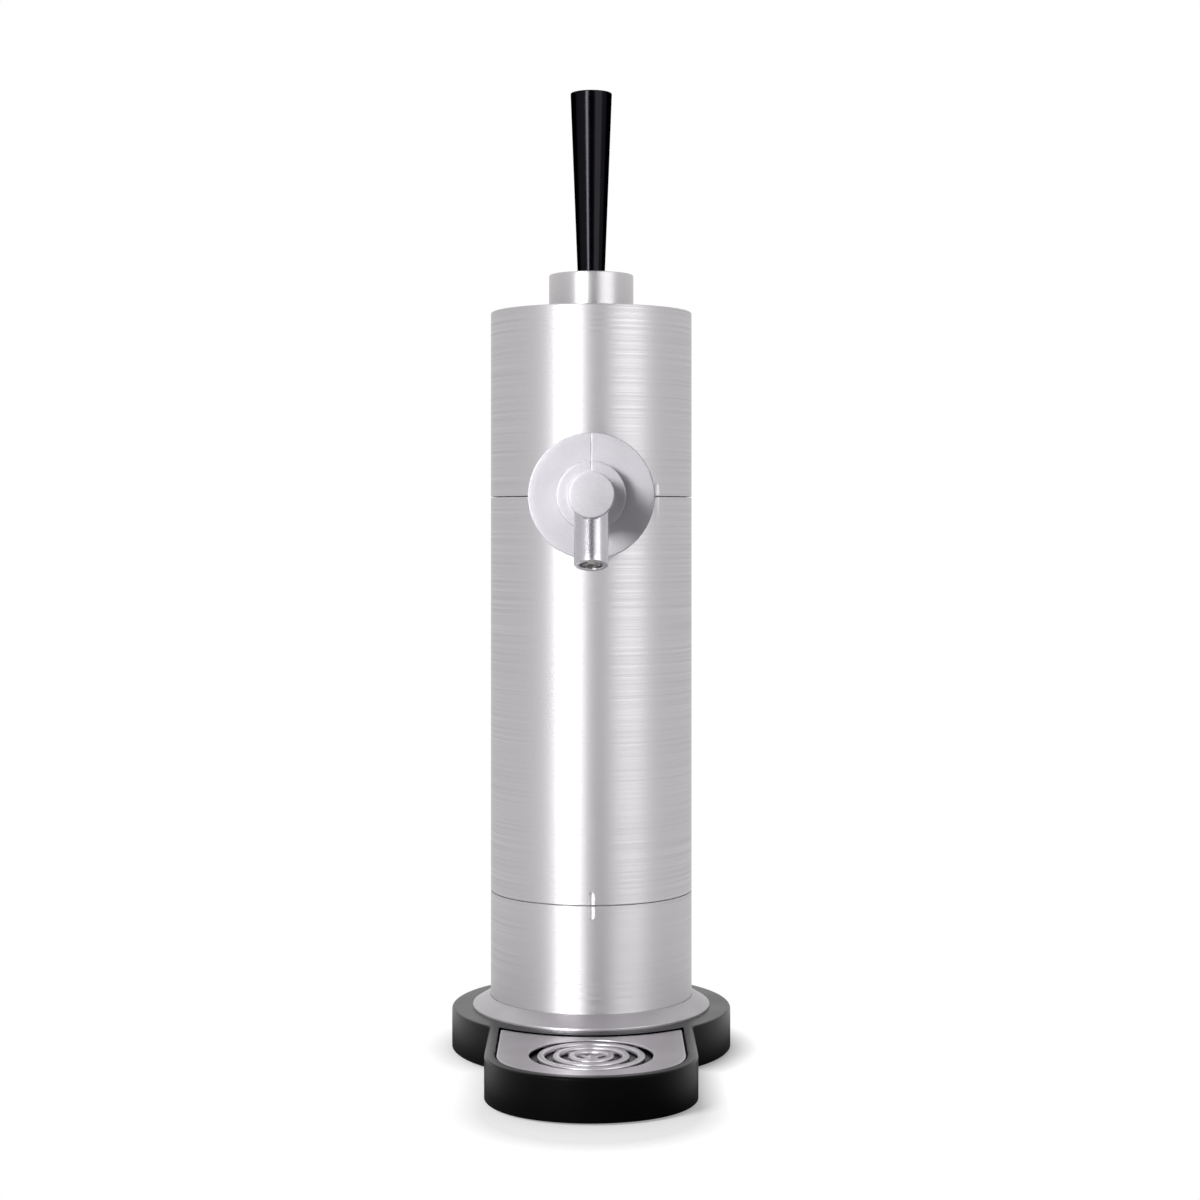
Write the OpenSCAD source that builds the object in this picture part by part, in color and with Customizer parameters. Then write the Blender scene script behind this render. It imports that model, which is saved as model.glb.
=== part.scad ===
// Canned beer dispenser: an insulated can sleeve on a weighted foot with a drip tray,
// under a lift-off pump head with a tilting pump handle and a turning tap.
// Millimetres. Origin on the column axis at the floor, +Z up, tap and tray towards -Y.

/* [Column] */
// Outer diameter of the brushed column
column_d = 90; // [84:1:96]
// Wall of the three column skins
skin_wall = 1.5; // [1:0.1:2]
// Open groove where two column sections meet
seam_gap = 0.4; // [0.3:0.05:0.6]
// Height of the lower seam above the floor
lower_seam_z = 70.5; // [70:0.5:76]
// Height of the upper seam above the floor
upper_seam_z = 246; // [244:0.5:260]
// Height of the top face of the head
head_top_z = 328.6; // [328:0.2:340]
// Bevel on the top edge of the head
head_bevel = 0.7; // [0.3:0.1:1.2]
// Width of the engraved alignment marks
mark_w = 2.8; // [2:0.2:4]
// Length of the engraved alignment marks
mark_len = 11.6; // [8:0.2:16]
// Depth of engraved marks
mark_depth = 0.4; // [0.2:0.1:0.6]
// Bearing of the upper alignment mark, from the front towards +X
upper_mark_angle = 39; // [30:1:60]

/* [Base] */
// Diameter of the round foot
disc_d = 124.6; // [122:0.5:134]
// Height of the base top face above the floor
base_top_z = 18.7; // [18:0.1:24]
// Gap between the base skirt and the floor
skirt_gap = 0.8; // [0.5:0.1:1.5]
// Wall of the moulded base
base_wall = 2.6; // [2:0.1:3.4]
// Rounding of the top edge of the base
base_round = 1.2; // [0.6:0.2:2]
// Half width of the tray tongue
tongue_half_w = 43.6; // [41:0.2:46]
// Distance from the column axis to the tip of the tongue
tongue_reach = 130.2; // [126:0.2:138]
// Radius of the front edge of the tongue
tongue_front_r = 50; // [46:1:56]
// Radius of the corners of the tongue
tongue_corner_r = 38; // [34:1:40]
// Thickness of the bottom cover
plate_t = 2; // [1.6:0.1:2.6]
// Diameter of the steel ballast disc
ballast_d = 80; // [60:1:90]
// Thickness of the ballast disc
ballast_t = 5; // [3:0.5:6]
// Diameter of the rubber feet
foot_d = 13; // [9:1:16]
// Depth of the recess that holds each foot
foot_recess = 0.6; // [0.4:0.1:1]
// Diameter of the centre pad
centre_pad_d = 26; // [18:1:40]
// Outer radius of the painted trim ring
trim_r = 53; // [51:0.5:56]
// Height of the trim ring
trim_h = 5.3; // [4:0.1:7]
// Upright rim of the trim ring
trim_rim = 0.7; // [0.4:0.1:1.2]

/* [Drip tray] */
// Width of the black rim round the tray opening
rim_w = 4.2; // [3.5:0.1:5]
// Gap between the rim and the grille
grille_gap = 0.8; // [0.5:0.1:1.2]
// Radius of the hollow back edge of the grille
grille_back_r = 60.8; // [59:0.2:63]
// Drop of the grille face below the base top
grille_drop = 0.5; // [0.3:0.1:1]
// Thickness of the grille sheet
grille_t = 1.6; // [1.2:0.1:2]
// Height of the grille rings
ring_h = 1.9; // [1.8:0.1:3]
// Distance of the ring centre from the column axis
ring_centre = 91; // [88:0.5:94]
// Radius of the round opening in the grille sheet
ring_open_r = 25.4; // [23:0.2:27]
// Width of the slots between the grille rings
slot_w = 3.4; // [2.8:0.05:3.6]
// Width of the grille rings
ring_w = 2.95; // [2.6:0.05:3.4]
// Radius of the small middle boss
boss_r = 3; // [2:0.1:4]
// Wall of the drip tray
tray_wall = 1.6; // [1.2:0.1:2]
// Floor of the drip tray
tray_floor = 1.4; // [1:0.1:1.8]

/* [Can chamber] */
// Diameter of the cans that the sleeve takes
can_d = 66; // [64:0.5:68]
// Thickness of the rubber pad under the can
pad_t = 3; // [2:0.5:4]
// Wall of the inner sleeve
liner_wall = 2; // [1.6:0.1:2.4]
// Room between the can and the cold packs
can_room = 1.5; // [1:0.25:2.5]
// Twist that frees the sleeve from the foot
twist_angle = 25; // [22:1:30]
// Diameter of the draw tube
draw_d = 5; // [4:0.2:6]
// Bore of the draw tube
draw_bore = 3.4; // [2.4:0.2:3.8]
// Gap between the draw tube and the can seat
draw_lift = 9; // [6:0.5:14]

/* [Head] */
// Outer diameter of the collar on the head
collar_d = 37.8; // [36:0.2:42]
// Height of the collar
collar_h = 17; // [14:0.5:20]
// Thickness of the head floor
floor_t = 3; // [2.4:0.2:4]
// Depth of the spigot that plugs into the sleeve
spigot_h = 10; // [8:0.5:12]
// Wall of the spigot
spigot_wall = 4; // [3:0.5:4.5]
// Diameter of one battery cell
cell_d = 14.5; // [14:0.1:14.7]
// Length of one battery cell
cell_len = 50.5; // [50:0.1:51]
// Diameter of the pump head
pump_d = 27; // [24:0.5:28]
// Height of the pump head
pump_h = 28; // [26:0.5:30]
// Diameter of the pump motor
motor_d = 24; // [20:0.5:25]
// Length of the pump motor
motor_len = 31; // [26:0.5:32]

/* [Tap] */
// Diameter of the round tap plate
plate_d = 54.2; // [50:0.2:58]
// How far the tap plate stands out from the column
plate_proud = 3.5; // [3.2:0.1:5]
// Diameter of the turning hub
hub_d = 30; // [28:0.5:34]
// Height of the turning hub
hub_h = 5; // [4.4:0.1:7]
// Diameter of the tap barrel
barrel_d = 19.3; // [18.6:0.1:22]
// Distance from the column axis to the front of the tap barrel
barrel_reach = 90; // [88:0.5:97]
// Diameter of the spout
spout_d = 14.2; // [12.5:0.1:14.6]
// Bore of the spout
spout_bore = 9.8; // [8:0.2:10.4]
// Forward lean of the spout
spout_lean = 20; // [12:1:26]
// Distance from the barrel axis down to the spout mouth
spout_drop = 29; // [24:0.5:36]

/* [Lever] */
// Diameter of the handle at the collar top
handle_low_d = 12.1; // [11:0.1:12.6]
// Diameter of the handle at its top
handle_top_d = 18.6; // [16:0.1:22]
// Height of the handle above the collar
handle_len = 81.6; // [60:0.2:100]
// Swing of the handle to either side
lever_angle = 15; // [8:1:15]
// Diameter of the lever rod
rod_d = 6; // [5:0.25:6.5]
// Diameter of the pivot pin
pivot_d = 4; // [3:0.25:4]
// Distance from the pivot down to the switch nose
switch_arm = 12; // [11.5:0.25:12.5]

/* [Hidden] */
$fn = 96;

// Overrun of every cut past the face that it opens
over = 1;
// Gap between pieces that move past each other
run_gap = 0.3;
// Gap between pieces that are fitted together
fit_gap = 0.2;
// Radial clearance of a pin or a journal
journal_gap = 0.05;
// Width and radial depth of small lugs
lug_h = 3;
lug_depth = 2;
lug_angle = 20;
lug_count = 3;
// Overlap that joins two bars of one piece
weld = 0.2;

column_r = column_d / 2;
skin_r = column_r - skin_wall;
foot_top_z = lower_seam_z - seam_gap / 2;
sleeve_bottom_z = lower_seam_z + seam_gap / 2;
sleeve_top_z = upper_seam_z - seam_gap / 2;
head_bottom_z = upper_seam_z + seam_gap / 2;

// A ring round the Z axis from z0 to z1
module ring(r_out, r_in, z0, z1) {
  translate([0, 0, z0])
    rotate_extrude()
      translate([r_in, 0])
        square([r_out - r_in, z1 - z0]);
}

// A disc on the Z axis from z0 to z1
module disc(r, z0, z1) {
  translate([0, 0, z0])
    cylinder(h = z1 - z0, r = r);
}

// Part of a ring, from angle a, over the angle wide
module arc_ring(r_out, r_in, z0, z1, a, wide) {
  translate([0, 0, z0])
    rotate([0, 0, a])
      rotate_extrude(angle = wide)
        translate([r_in, 0])
          square([r_out - r_in, z1 - z0]);
}

// A rod along X
module rod_x(r, x0, x1, y, z) {
  translate([x0, y, z])
    rotate([0, 90, 0])
      cylinder(h = x1 - x0, r = r);
}

// A rod that runs forward, towards -Y, from y0 to y1
module rod_y(r, y0, y1, x, z) {
  translate([x, y0, z])
    rotate([90, 0, 0])
      cylinder(h = y0 - y1, r = r);
}

// A block between two corners
module block(a, b) {
  translate(a)
    cube(b - a);
}

// An upright pill cut across a seam at the front, turned by the bearing a
module seam_mark(z, a) {
  rotate([0, 0, a])
    for (end = [-1, 1])
      rod_y(mark_w / 2, -column_r + mark_depth, -column_r - over, 0, z + end * (mark_len - mark_w) / 2);
  rotate([0, 0, a])
    block([-mark_w / 2, -column_r - over, z - (mark_len - mark_w) / 2],
          [mark_w / 2, -column_r + mark_depth, z + (mark_len - mark_w) / 2]);
}

// Points of an arc round c, from angle a0 to a1 in n steps
function arc_points(c, r, a0, a1, n) =
  [for (i = [0:n]) c + r * [cos(a0 + (a1 - a0) * i / n), sin(a0 + (a1 - a0) * i / n)]];

// Outline of the tongue, drawn in by the distance d: a front arc, two corner arcs, straight sides
corner_x = tongue_half_w - tongue_corner_r;
front_y = tongue_front_r - tongue_reach;
corner_y = front_y - sqrt(pow(tongue_front_r - tongue_corner_r, 2) - pow(corner_x, 2));
corner_turn = asin(corner_x / (tongue_front_r - tongue_corner_r));
front_steps = 16;
corner_steps = 14;
function tongue_points(d) = concat(
  [[-tongue_half_w + d, 0]],
  arc_points([-corner_x, corner_y], tongue_corner_r - d, 180, 270 - corner_turn, corner_steps),
  arc_points([0, front_y], tongue_front_r - d, 270 - corner_turn, 270 + corner_turn, front_steps),
  arc_points([corner_x, corner_y], tongue_corner_r - d, 270 + corner_turn, 360, corner_steps),
  [[tongue_half_w - d, 0]]);

// The tongue outline, raised from z0 to z1
module tongue(d, z0, z1) {
  translate([0, 0, z0])
    linear_extrude(z1 - z0)
      polygon(tongue_points(d));
}

// The tongue behind the rim, with its hollow back edge
module tray_space(d, z0, z1, back_r) {
  difference() {
    tongue(d, z0, z1);
    disc(back_r, z0 - over, z1 + over);
  }
}

// Base
disc_r = disc_d / 2;
skirt_z = skirt_gap;
base_ceiling_z = base_top_z - base_wall;
plate_top_z = skirt_z + plate_t;
tray_inset = rim_w;
tray_back_r = grille_back_r - grille_gap - fit_gap;
well_floor_z = plate_top_z + lug_depth;
well_floor_t = base_wall * 0.6;
boss_ring_r = disc_r - base_wall - 2 * lug_h + weld;
boss_bearings = [15, 165, -32, -148];
screw_r = 1.5;
screw_head_r = 2.8;
screw_head_h = 1.4;
screw_boss_r = 3.2;
screw_len = 11;
foot_places_share = [[0.4, -1.05], [-0.4, -1.05], [0.62, 0.3], [-0.62, 0.3]];
round_steps = 5;

module base_housing() {
  color("#1b1b1d")
    difference() {
      union() {
        difference() {
          union() {
            translate([0, 0, skirt_z])
              rotate_extrude()
                polygon(concat([[0, 0], [disc_r, 0]],
                  arc_points([disc_r - base_round, base_top_z - skirt_z - base_round], base_round, 0, 90, round_steps),
                  [[0, base_top_z - skirt_z]]));
            hull() {
              tongue(0, skirt_z, base_top_z - base_round);
              for (i = [1:round_steps])
                tongue(base_round * (1 - cos(90 * i / round_steps)), skirt_z,
                  base_top_z - base_round * (1 - sin(90 * i / round_steps)));
            }
          }
          disc(disc_r - base_wall, skirt_z - over, base_ceiling_z);
          tongue(base_wall, skirt_z - over, base_ceiling_z);
        }
        for (a = boss_bearings)
          rotate([0, 0, a])
            translate([boss_ring_r, 0, plate_top_z])
              cylinder(h = base_ceiling_z + weld - plate_top_z, r = screw_boss_r);
        tray_space(base_wall - weld, well_floor_z, base_top_z - base_round, tray_back_r - well_floor_t);
      }
      tray_space(tray_inset, well_floor_z + well_floor_t, base_top_z + over, tray_back_r);
      for (a = boss_bearings)
        rotate([0, 0, a])
          translate([boss_ring_r, 0, plate_top_z - over])
            cylinder(h = screw_len, r = screw_r + journal_gap);
      for (a = frame_boss_bearings)
        rotate([0, 0, a])
          translate([frame_boss_ring_r, 0, base_ceiling_z - over])
            cylinder(h = base_wall + 2 * over, r = screw_r + fit_gap);
    }
}

module base_plate() {
  color("#232325") {
    difference() {
      union() {
        disc(disc_r - base_wall - run_gap, skirt_z, plate_top_z);
        tongue(base_wall + run_gap, skirt_z, plate_top_z);
      }
      for (p = foot_places_share)
        translate([p[0] * disc_r, p[1] * (tongue_reach + disc_r) / 2, skirt_z - over])
          cylinder(h = over + foot_recess, r = foot_d / 2 + journal_gap);
      translate([0, 0, skirt_z - over])
        cylinder(h = over + foot_recess, r = centre_pad_d / 2 + journal_gap);
      for (a = boss_bearings)
        rotate([0, 0, a]) {
          translate([boss_ring_r, 0, skirt_z - over])
            cylinder(h = plate_t + 2 * over, r = screw_r + fit_gap);
          translate([boss_ring_r, 0, skirt_z - over])
            cylinder(h = over + screw_head_h, r = screw_head_r + fit_gap);
        }
    }
  }
}

module rubber_feet() {
  color("#2b2b2b") {
    for (p = foot_places_share)
      translate([p[0] * disc_r, p[1] * (tongue_reach + disc_r) / 2, 0])
        cylinder(h = skirt_gap + foot_recess, r = foot_d / 2);
    cylinder(h = skirt_gap + foot_recess, r = centre_pad_d / 2);
  }
}

// A pan head screw that points up, with a cross slot
module screw_up(len) {
  difference() {
    union() {
      cylinder(h = screw_head_h, r = screw_head_r);
      cylinder(h = len, r = screw_r);
    }
    for (a = [0, 90])
      rotate([0, 0, a])
        block([-screw_head_r * 0.6, -screw_r * 0.2, -over], [screw_head_r * 0.6, screw_r * 0.2, screw_head_h * 0.5]);
  }
}

module base_screws() {
  color("#9a9a9c")
    for (a = boss_bearings)
      rotate([0, 0, a])
        translate([boss_ring_r, 0, skirt_z])
          screw_up(screw_len - fit_gap);
}

module ballast_plate() {
  color("#7c7f82")
    disc(ballast_d / 2, plate_top_z, plate_top_z + ballast_t);
}

module trim_ring() {
  color("#c9c9c6")
    translate([0, 0, base_top_z])
      rotate_extrude()
        polygon([[column_r + journal_gap, 0], [trim_r, 0], [trim_r, trim_rim],
          [trim_r - trim_rim, trim_rim + trim_rim * 0.3], [column_r + 2 * trim_rim, trim_h - trim_rim * 0.6],
          [column_r + trim_rim, trim_h], [column_r + journal_gap, trim_h]]);
}

module foot_tube() {
  color("#d4d4d4")
    difference() {
      ring(column_r, skin_r, base_top_z, foot_top_z);
      seam_mark(lower_seam_z, 0);
    }
}

// Foot frame, which carries the can seat
frame_r = skin_r - fit_gap;
frame_wall = 2;
liner_r = skin_r - fit_gap;
liner_bore_r = liner_r - liner_wall;
seat_z = lower_seam_z - pad_t - fit_gap * 2.5;
seat_t = 2.5;
pad_top_z = seat_z + pad_t;
seat_over_tabs = 1.5;
tabs_under_z = seat_z - seat_over_tabs;
liner_foot_z = tabs_under_z - run_gap - lug_h;
ledge_z = liner_foot_z - run_gap;
ledge_t = 2;
riser_out = 3;
riser_r = can_d / 2 + riser_out;
riser_wall = 2;
frame_boss_ring_r = frame_r - frame_wall - screw_boss_r + weld;
frame_boss_bearings = [45, 135, 225, 315];
frame_screw_len = 12;

module foot_frame() {
  color("#e6e4df")
    difference() {
      union() {
        ring(frame_r, frame_r - frame_wall, base_top_z, ledge_z);
        ring(frame_r, riser_r - riser_wall, ledge_z - ledge_t, ledge_z);
        ring(riser_r, riser_r - riser_wall, ledge_z - ledge_t, seat_z);
        disc(riser_r - riser_wall + weld, seat_z - seat_t, seat_z);
        for (a = frame_boss_bearings)
          rotate([0, 0, a])
            translate([frame_boss_ring_r, 0, base_top_z])
              cylinder(h = frame_screw_len + base_wall, r = screw_boss_r);
      }
      for (a = frame_boss_bearings)
        rotate([0, 0, a])
          translate([frame_boss_ring_r, 0, base_top_z - over])
            cylinder(h = frame_screw_len + over, r = screw_r + journal_gap);
    }
}

module foot_screws() {
  color("#9a9a9c")
    for (a = frame_boss_bearings)
      rotate([0, 0, a])
        translate([frame_boss_ring_r, 0, base_ceiling_z - screw_head_h])
          screw_up(frame_screw_len + screw_head_h);
}

module can_pad() {
  color("#3a3a3c")
    disc(can_d / 2 - can_room, seat_z, pad_top_z);
}

// Bayonet between the foot and the sleeve
lock_in_r = riser_r + journal_gap;
lock_r = liner_bore_r - lug_depth - run_gap;
tab_r = liner_bore_r - run_gap;
tab_h = 2.6;
lock_top_z = tabs_under_z + tab_h + lug_h;
stop_angle = 3;
seal_t = 1.8;
lug_bearings = [for (i = [0:lug_count - 1]) 90 + i * 360 / lug_count];

module lower_lock_ring() {
  color("#d8d6d0")
    union() {
      ring(lock_r, lock_in_r, ledge_z, lock_top_z);
      for (a = lug_bearings) {
        arc_ring(tab_r, lock_r - weld, tabs_under_z, tabs_under_z + tab_h, a - lug_angle / 2 - 2 * stop_angle, lug_angle + 3 * stop_angle);
        arc_ring(tab_r - journal_gap, lock_r - 2 * weld, ledge_z, tabs_under_z + weld, a - lug_angle / 2 - 1.8 * stop_angle, stop_angle);
        arc_ring(tab_r, lock_r - weld, ledge_z, tabs_under_z + tab_h, a + lug_angle / 2 + twist_angle + stop_angle, stop_angle);
      }
    }
}

module lower_seal() {
  color("#5c5c60")
    ring(lock_r - fit_gap, lock_in_r + fit_gap, lock_top_z, lock_top_z + seal_t);
}

// Drip tray and grille
tray_out_inset = tray_inset + fit_gap;
tray_seat_z = well_floor_z + well_floor_t;
grille_top_z = base_top_z - grille_drop;
grille_inset = rim_w + grille_gap;
tray_top_z = grille_top_z - grille_t;
shelf_w = 2.4;

module drip_tray() {
  color("#1f1f21")
    difference() {
      tray_space(tray_out_inset, tray_seat_z, tray_top_z, tray_back_r + fit_gap);
      tray_space(tray_out_inset + tray_wall, tray_seat_z + tray_floor, tray_top_z + over, tray_back_r + fit_gap + tray_wall);
    }
}

ring_top_steps = 6;
bridge_h = 1.2;
bridge_w = 2.4;
boss_round = 1;
boss_dome = 0.5;

// One grille ring with a rounded top
module grille_ring(r_in, w, h) {
  translate([0, -ring_centre, grille_top_z - h])
    rotate_extrude()
      polygon(concat([[r_in, 0], [r_in + w, 0]],
        arc_points([r_in + w / 2, h - w / 2], w / 2, 0, 180, ring_top_steps)));
}

module drip_grille() {
  color("#b9b9b7")
    difference() {
      union() {
        difference() {
          tray_space(grille_inset, tray_top_z, grille_top_z, grille_back_r);
          translate([0, -ring_centre, tray_top_z - over])
            cylinder(h = grille_t + 2 * over, r = ring_open_r);
        }
        translate([0, -ring_centre, 0])
          ring(ring_open_r + ring_w / 2, ring_open_r - journal_gap, grille_top_z - ring_h - bridge_h, tray_top_z + weld);
        for (i = [1:3])
          grille_ring(ring_open_r - i * (slot_w + ring_w), ring_w, ring_h);
        for (a = [45, -45])
          translate([0, -ring_centre, 0])
            rotate([0, 0, a])
              block([-ring_open_r - weld, -bridge_w / 2, grille_top_z - ring_h - bridge_h],
                    [ring_open_r + weld, bridge_w / 2, grille_top_z - ring_h + weld]);
        translate([0, -ring_centre, grille_top_z - ring_h - bridge_h])
          rotate_extrude()
            polygon(concat([[0, 0], [boss_r, 0]],
              arc_points([boss_r - boss_round, ring_h + bridge_h - boss_dome - boss_round], boss_round, 0, 60, ring_top_steps),
              [[0, ring_h + bridge_h]]));
      }
      for (side = [-1, 1])
        translate([side * (tongue_half_w - grille_inset), -grille_back_r * cos(asin((tongue_half_w - grille_inset) / grille_back_r)), tray_top_z])
          rotate([0, 0, 45])
            block([-lug_depth / 2, -lug_depth / 2, -over], [lug_depth / 2, lug_depth / 2, grille_t + over]);
    }
}

// Can sleeve
pack_in_r = can_d / 2 + can_room;
pack_r = liner_bore_r - run_gap;
shelf_z = lock_top_z + seal_t + run_gap;
shelf_t = 1.5;
pack_room = 4;
pack_top_z = head_bottom_z - spigot_h - pack_room;
pack_gap_angle = 2;
key_w = 6;
key_depth = 1.4;
spigot_r = liner_bore_r - run_gap;

module sleeve_tube() {
  color("#d4d4d4")
    difference() {
      ring(column_r, skin_r, sleeve_bottom_z, sleeve_top_z);
      seam_mark(lower_seam_z, 0);
      seam_mark(upper_seam_z, upper_mark_angle);
    }
}

module sleeve_liner() {
  color("#e6e4df")
    difference() {
      union() {
        ring(liner_r - fit_gap, liner_bore_r, liner_foot_z, sleeve_bottom_z);
        ring(liner_r, liner_bore_r, sleeve_bottom_z, head_bottom_z - run_gap);
        ring(liner_bore_r + weld, pack_in_r + can_room, shelf_z, shelf_z + shelf_t);
        for (a = lug_bearings)
          arc_ring(liner_bore_r + weld, liner_bore_r - lug_depth, liner_foot_z, liner_foot_z + lug_h, a - lug_angle / 2 + stop_angle / 2, lug_angle - stop_angle);
      }
      block([-key_w / 2 - run_gap, 0, head_bottom_z - spigot_h - 2 * run_gap],
            [key_w / 2 + run_gap, liner_r + over, head_bottom_z + over]);
    }
}

// Half shell of gel on one side of the sleeve
module cold_pack(a) {
  color("#a9c9d8")
    arc_ring(pack_r, pack_in_r, shelf_z + shelf_t, pack_top_z, a + pack_gap_angle / 2, 180 - pack_gap_angle);
}

module cold_pack_left() {
  cold_pack(90);
}

module cold_pack_right() {
  cold_pack(-90);
}

// Head
cap_t = 2.5;
cap_drop = 0.1;
cap_z = head_top_z - cap_drop - cap_t;
floor_z = head_bottom_z;
floor_top_z = floor_z + floor_t;
nipple_r = 4;
nipple_z = floor_top_z + 1.4 * nipple_r + 0.2 * floor_t;
nipple_x = 0;
pillar_r = 3;
pillar_ring_r = 38;
pillar_bearings = [20, 160, -65];
draw_x = 10;
draw_y = -13;
gland_r = 4.6;
cell_room = 0.4;
bay_w = 2 * cell_d + cell_room;
cell_spring = 1;
bay_len = cell_len + cell_spring;
holder_wall = 1;
bay_y = 3.3;
holder_z = floor_top_z;
holder_top_z = floor_top_z + bay_len + 1.2 * holder_wall;
collar_r = collar_d / 2;
collar_wall = 1.5;
collar_top_z = head_top_z + collar_h;
bezel_t = 2;
bezel_r = collar_r - collar_wall - fit_gap;
pivot_drop = 7.6;
lever_z = head_top_z - pivot_drop;
handle_foot_z = collar_top_z - pivot_drop;
slot_end = (collar_top_z - lever_z) * tan(lever_angle) + handle_low_d / 2 / cos(lever_angle) + 2 * run_gap;
slot_half_w = handle_low_d / 2 + 2 * run_gap;

module head_shell() {
  color("#d4d4d4")
    difference() {
      translate([0, 0, head_bottom_z])
        rotate_extrude()
          polygon([[skin_r, 0], [column_r, 0], [column_r, head_top_z - head_bottom_z - head_bevel],
            [column_r - head_bevel, head_top_z - head_bottom_z], [skin_r, head_top_z - head_bottom_z]]);
      seam_mark(upper_seam_z, upper_mark_angle);
      rod_y(nipple_r + fit_gap, -skin_r + 3 * skin_wall, -column_r - over, nipple_x, nipple_z);
    }
}

cap_hole_w = 9;
cap_hole_len = 16;

module head_cap() {
  color("#cfcfcf")
    difference() {
      union() {
        disc(skin_r - journal_gap, cap_z, cap_z + cap_t);
        for (a = pillar_bearings)
          rotate([0, 0, a])
            translate([pillar_ring_r, 0, floor_top_z])
              cylinder(h = cap_z + weld - floor_top_z, r = pillar_r);
      }
      block([-cap_hole_w / 2, -cap_hole_len / 2, cap_z - over], [cap_hole_w / 2, cap_hole_len / 2, cap_z + cap_t + over]);
      for (a = pillar_bearings)
        rotate([0, 0, a])
          translate([pillar_ring_r, 0, floor_top_z - over])
            cylinder(h = screw_len + over, r = screw_r + journal_gap);
    }
}

// Battery lid, hinged under the head floor
lid_t = 2;
lid_knuckle_r = 1.4;
lid_pin_r = 0.8;
lid_axis_y = 0.2;
lid_axis_z = floor_z - fit_gap - lid_knuckle_r;
lid_top_z = floor_z - run_gap;
lid_edge = 0.7;
lid_lap = 1.3;
lid_y0 = bay_y - lid_lap;
lid_y1 = bay_y + bay_w + lid_edge / 2;
lid_x = bay_w / 2 + lid_edge;
knuckle_half = 7.6;
ear_w = 2;
ear_x = knuckle_half + run_gap + ear_w / 2;

module head_frame() {
  color("#e6e4df")
    difference() {
      union() {
        disc(skin_r - fit_gap, floor_z, floor_top_z);
        ring(spigot_r, spigot_r - spigot_wall, floor_z - spigot_h, floor_z + weld);
        block([-key_w / 2, spigot_r - spigot_wall, floor_z - spigot_h], [key_w / 2, spigot_r + key_depth, floor_z + weld]);
        for (side = [-1, 1]) {
          rod_x(lid_knuckle_r, side * ear_x - ear_w / 2, side * ear_x + ear_w / 2, lid_axis_y, lid_axis_z);
          block([side * ear_x - ear_w / 2, lid_axis_y - lid_knuckle_r, lid_axis_z],
                [side * ear_x + ear_w / 2, lid_axis_y + lid_knuckle_r, floor_z + weld]);
        }
        for (y = [board_y0, board_y1 - post_w])
          block([board_x - post_w / 2, y, floor_top_z - weld], [board_x + board_t + post_w / 2, y + post_w, floor_top_z + post_h]);
      }
      ring(spigot_r + over, spigot_r - 2 * seal_r, floor_z - spigot_h / 2 - seal_r, floor_z - spigot_h / 2 + seal_r);
      block([-bay_w / 2, bay_y, floor_z - over], [bay_w / 2, bay_y + bay_w, floor_top_z + over]);
      translate([draw_x, draw_y, floor_z - over])
        cylinder(h = floor_t + 2 * over, r = gland_r - floor_t / 2);
      rod_x(lid_pin_r, -knuckle_half - ear_w - over, knuckle_half + ear_w + over, lid_axis_y, lid_axis_z);
      block([board_x - journal_gap, board_y0 - over, floor_top_z + post_w / 4], [board_x + board_t + journal_gap, board_y1 + over, floor_top_z + post_h + over]);
      for (a = pillar_bearings)
        rotate([0, 0, a]) {
          translate([pillar_ring_r, 0, floor_z - spigot_h - over])
            cylinder(h = spigot_h + 2 * over + floor_t, r = screw_r + fit_gap);
          translate([pillar_ring_r, 0, floor_z - spigot_h - over])
            cylinder(h = spigot_h + over, r = screw_head_r + fit_gap);
        }
    }
}

module frame_screws() {
  color("#9a9a9c")
    for (a = pillar_bearings)
      rotate([0, 0, a])
        translate([pillar_ring_r, 0, floor_z - screw_head_h])
          screw_up(screw_len);
}

seal_r = 1.1;

module spigot_seal() {
  color("#5c5c60")
    difference() {
      translate([0, 0, floor_z - spigot_h / 2])
        rotate_extrude()
          translate([spigot_r - seal_r, 0])
            circle(r = seal_r - journal_gap, $fn = 24);
      block([-key_w / 2 - fit_gap, 0, floor_z - spigot_h], [key_w / 2 + fit_gap, column_r, floor_z]);
    }
}

module collar() {
  color("#d4d4d4")
    translate([0, 0, head_top_z])
      rotate_extrude()
        polygon([[collar_r - collar_wall, -cap_drop], [collar_r, -cap_drop], [collar_r, collar_h - head_bevel],
          [collar_r - head_bevel * 0.3, collar_h - head_bevel * 0.3],
          [collar_r - head_bevel, collar_h], [collar_r - collar_wall, collar_h]]);
}

module collar_bezel() {
  color("#1b1b1d")
    difference() {
      disc(bezel_r, head_top_z - cap_drop, collar_top_z - cap_drop);
      disc(bezel_r - collar_wall, head_top_z - over, collar_top_z - bezel_t);
      for (end = [-1, 1])
        translate([0, end * (slot_end - slot_half_w), collar_top_z - bezel_t - over])
          cylinder(h = bezel_t + 2 * over, r = slot_half_w);
      block([-slot_half_w, slot_half_w - slot_end, collar_top_z - bezel_t - over],
            [slot_half_w, slot_end - slot_half_w, collar_top_z + over]);
    }
}

// Lever bracket under the cap, with the switch below it
cheek_in = 8;
cheek_t = 2;
cheek_half = 6;
hub_r = 4.2;
bridge_t = 1.1;
slider_h = 5;
slider_half = 4;
slider_travel = switch_arm * lever_angle * PI / 180;
nose_z = lever_z - switch_arm;
nose_r = 1.5;
neck_half = 0.9;
neck_len = 4;
nose_dip = 2.5;
housing_wall = 1.2;
slider_foot_z = nose_z + nose_dip - slider_h;
bracket_foot_z = slider_foot_z - housing_wall - bridge_t;

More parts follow.
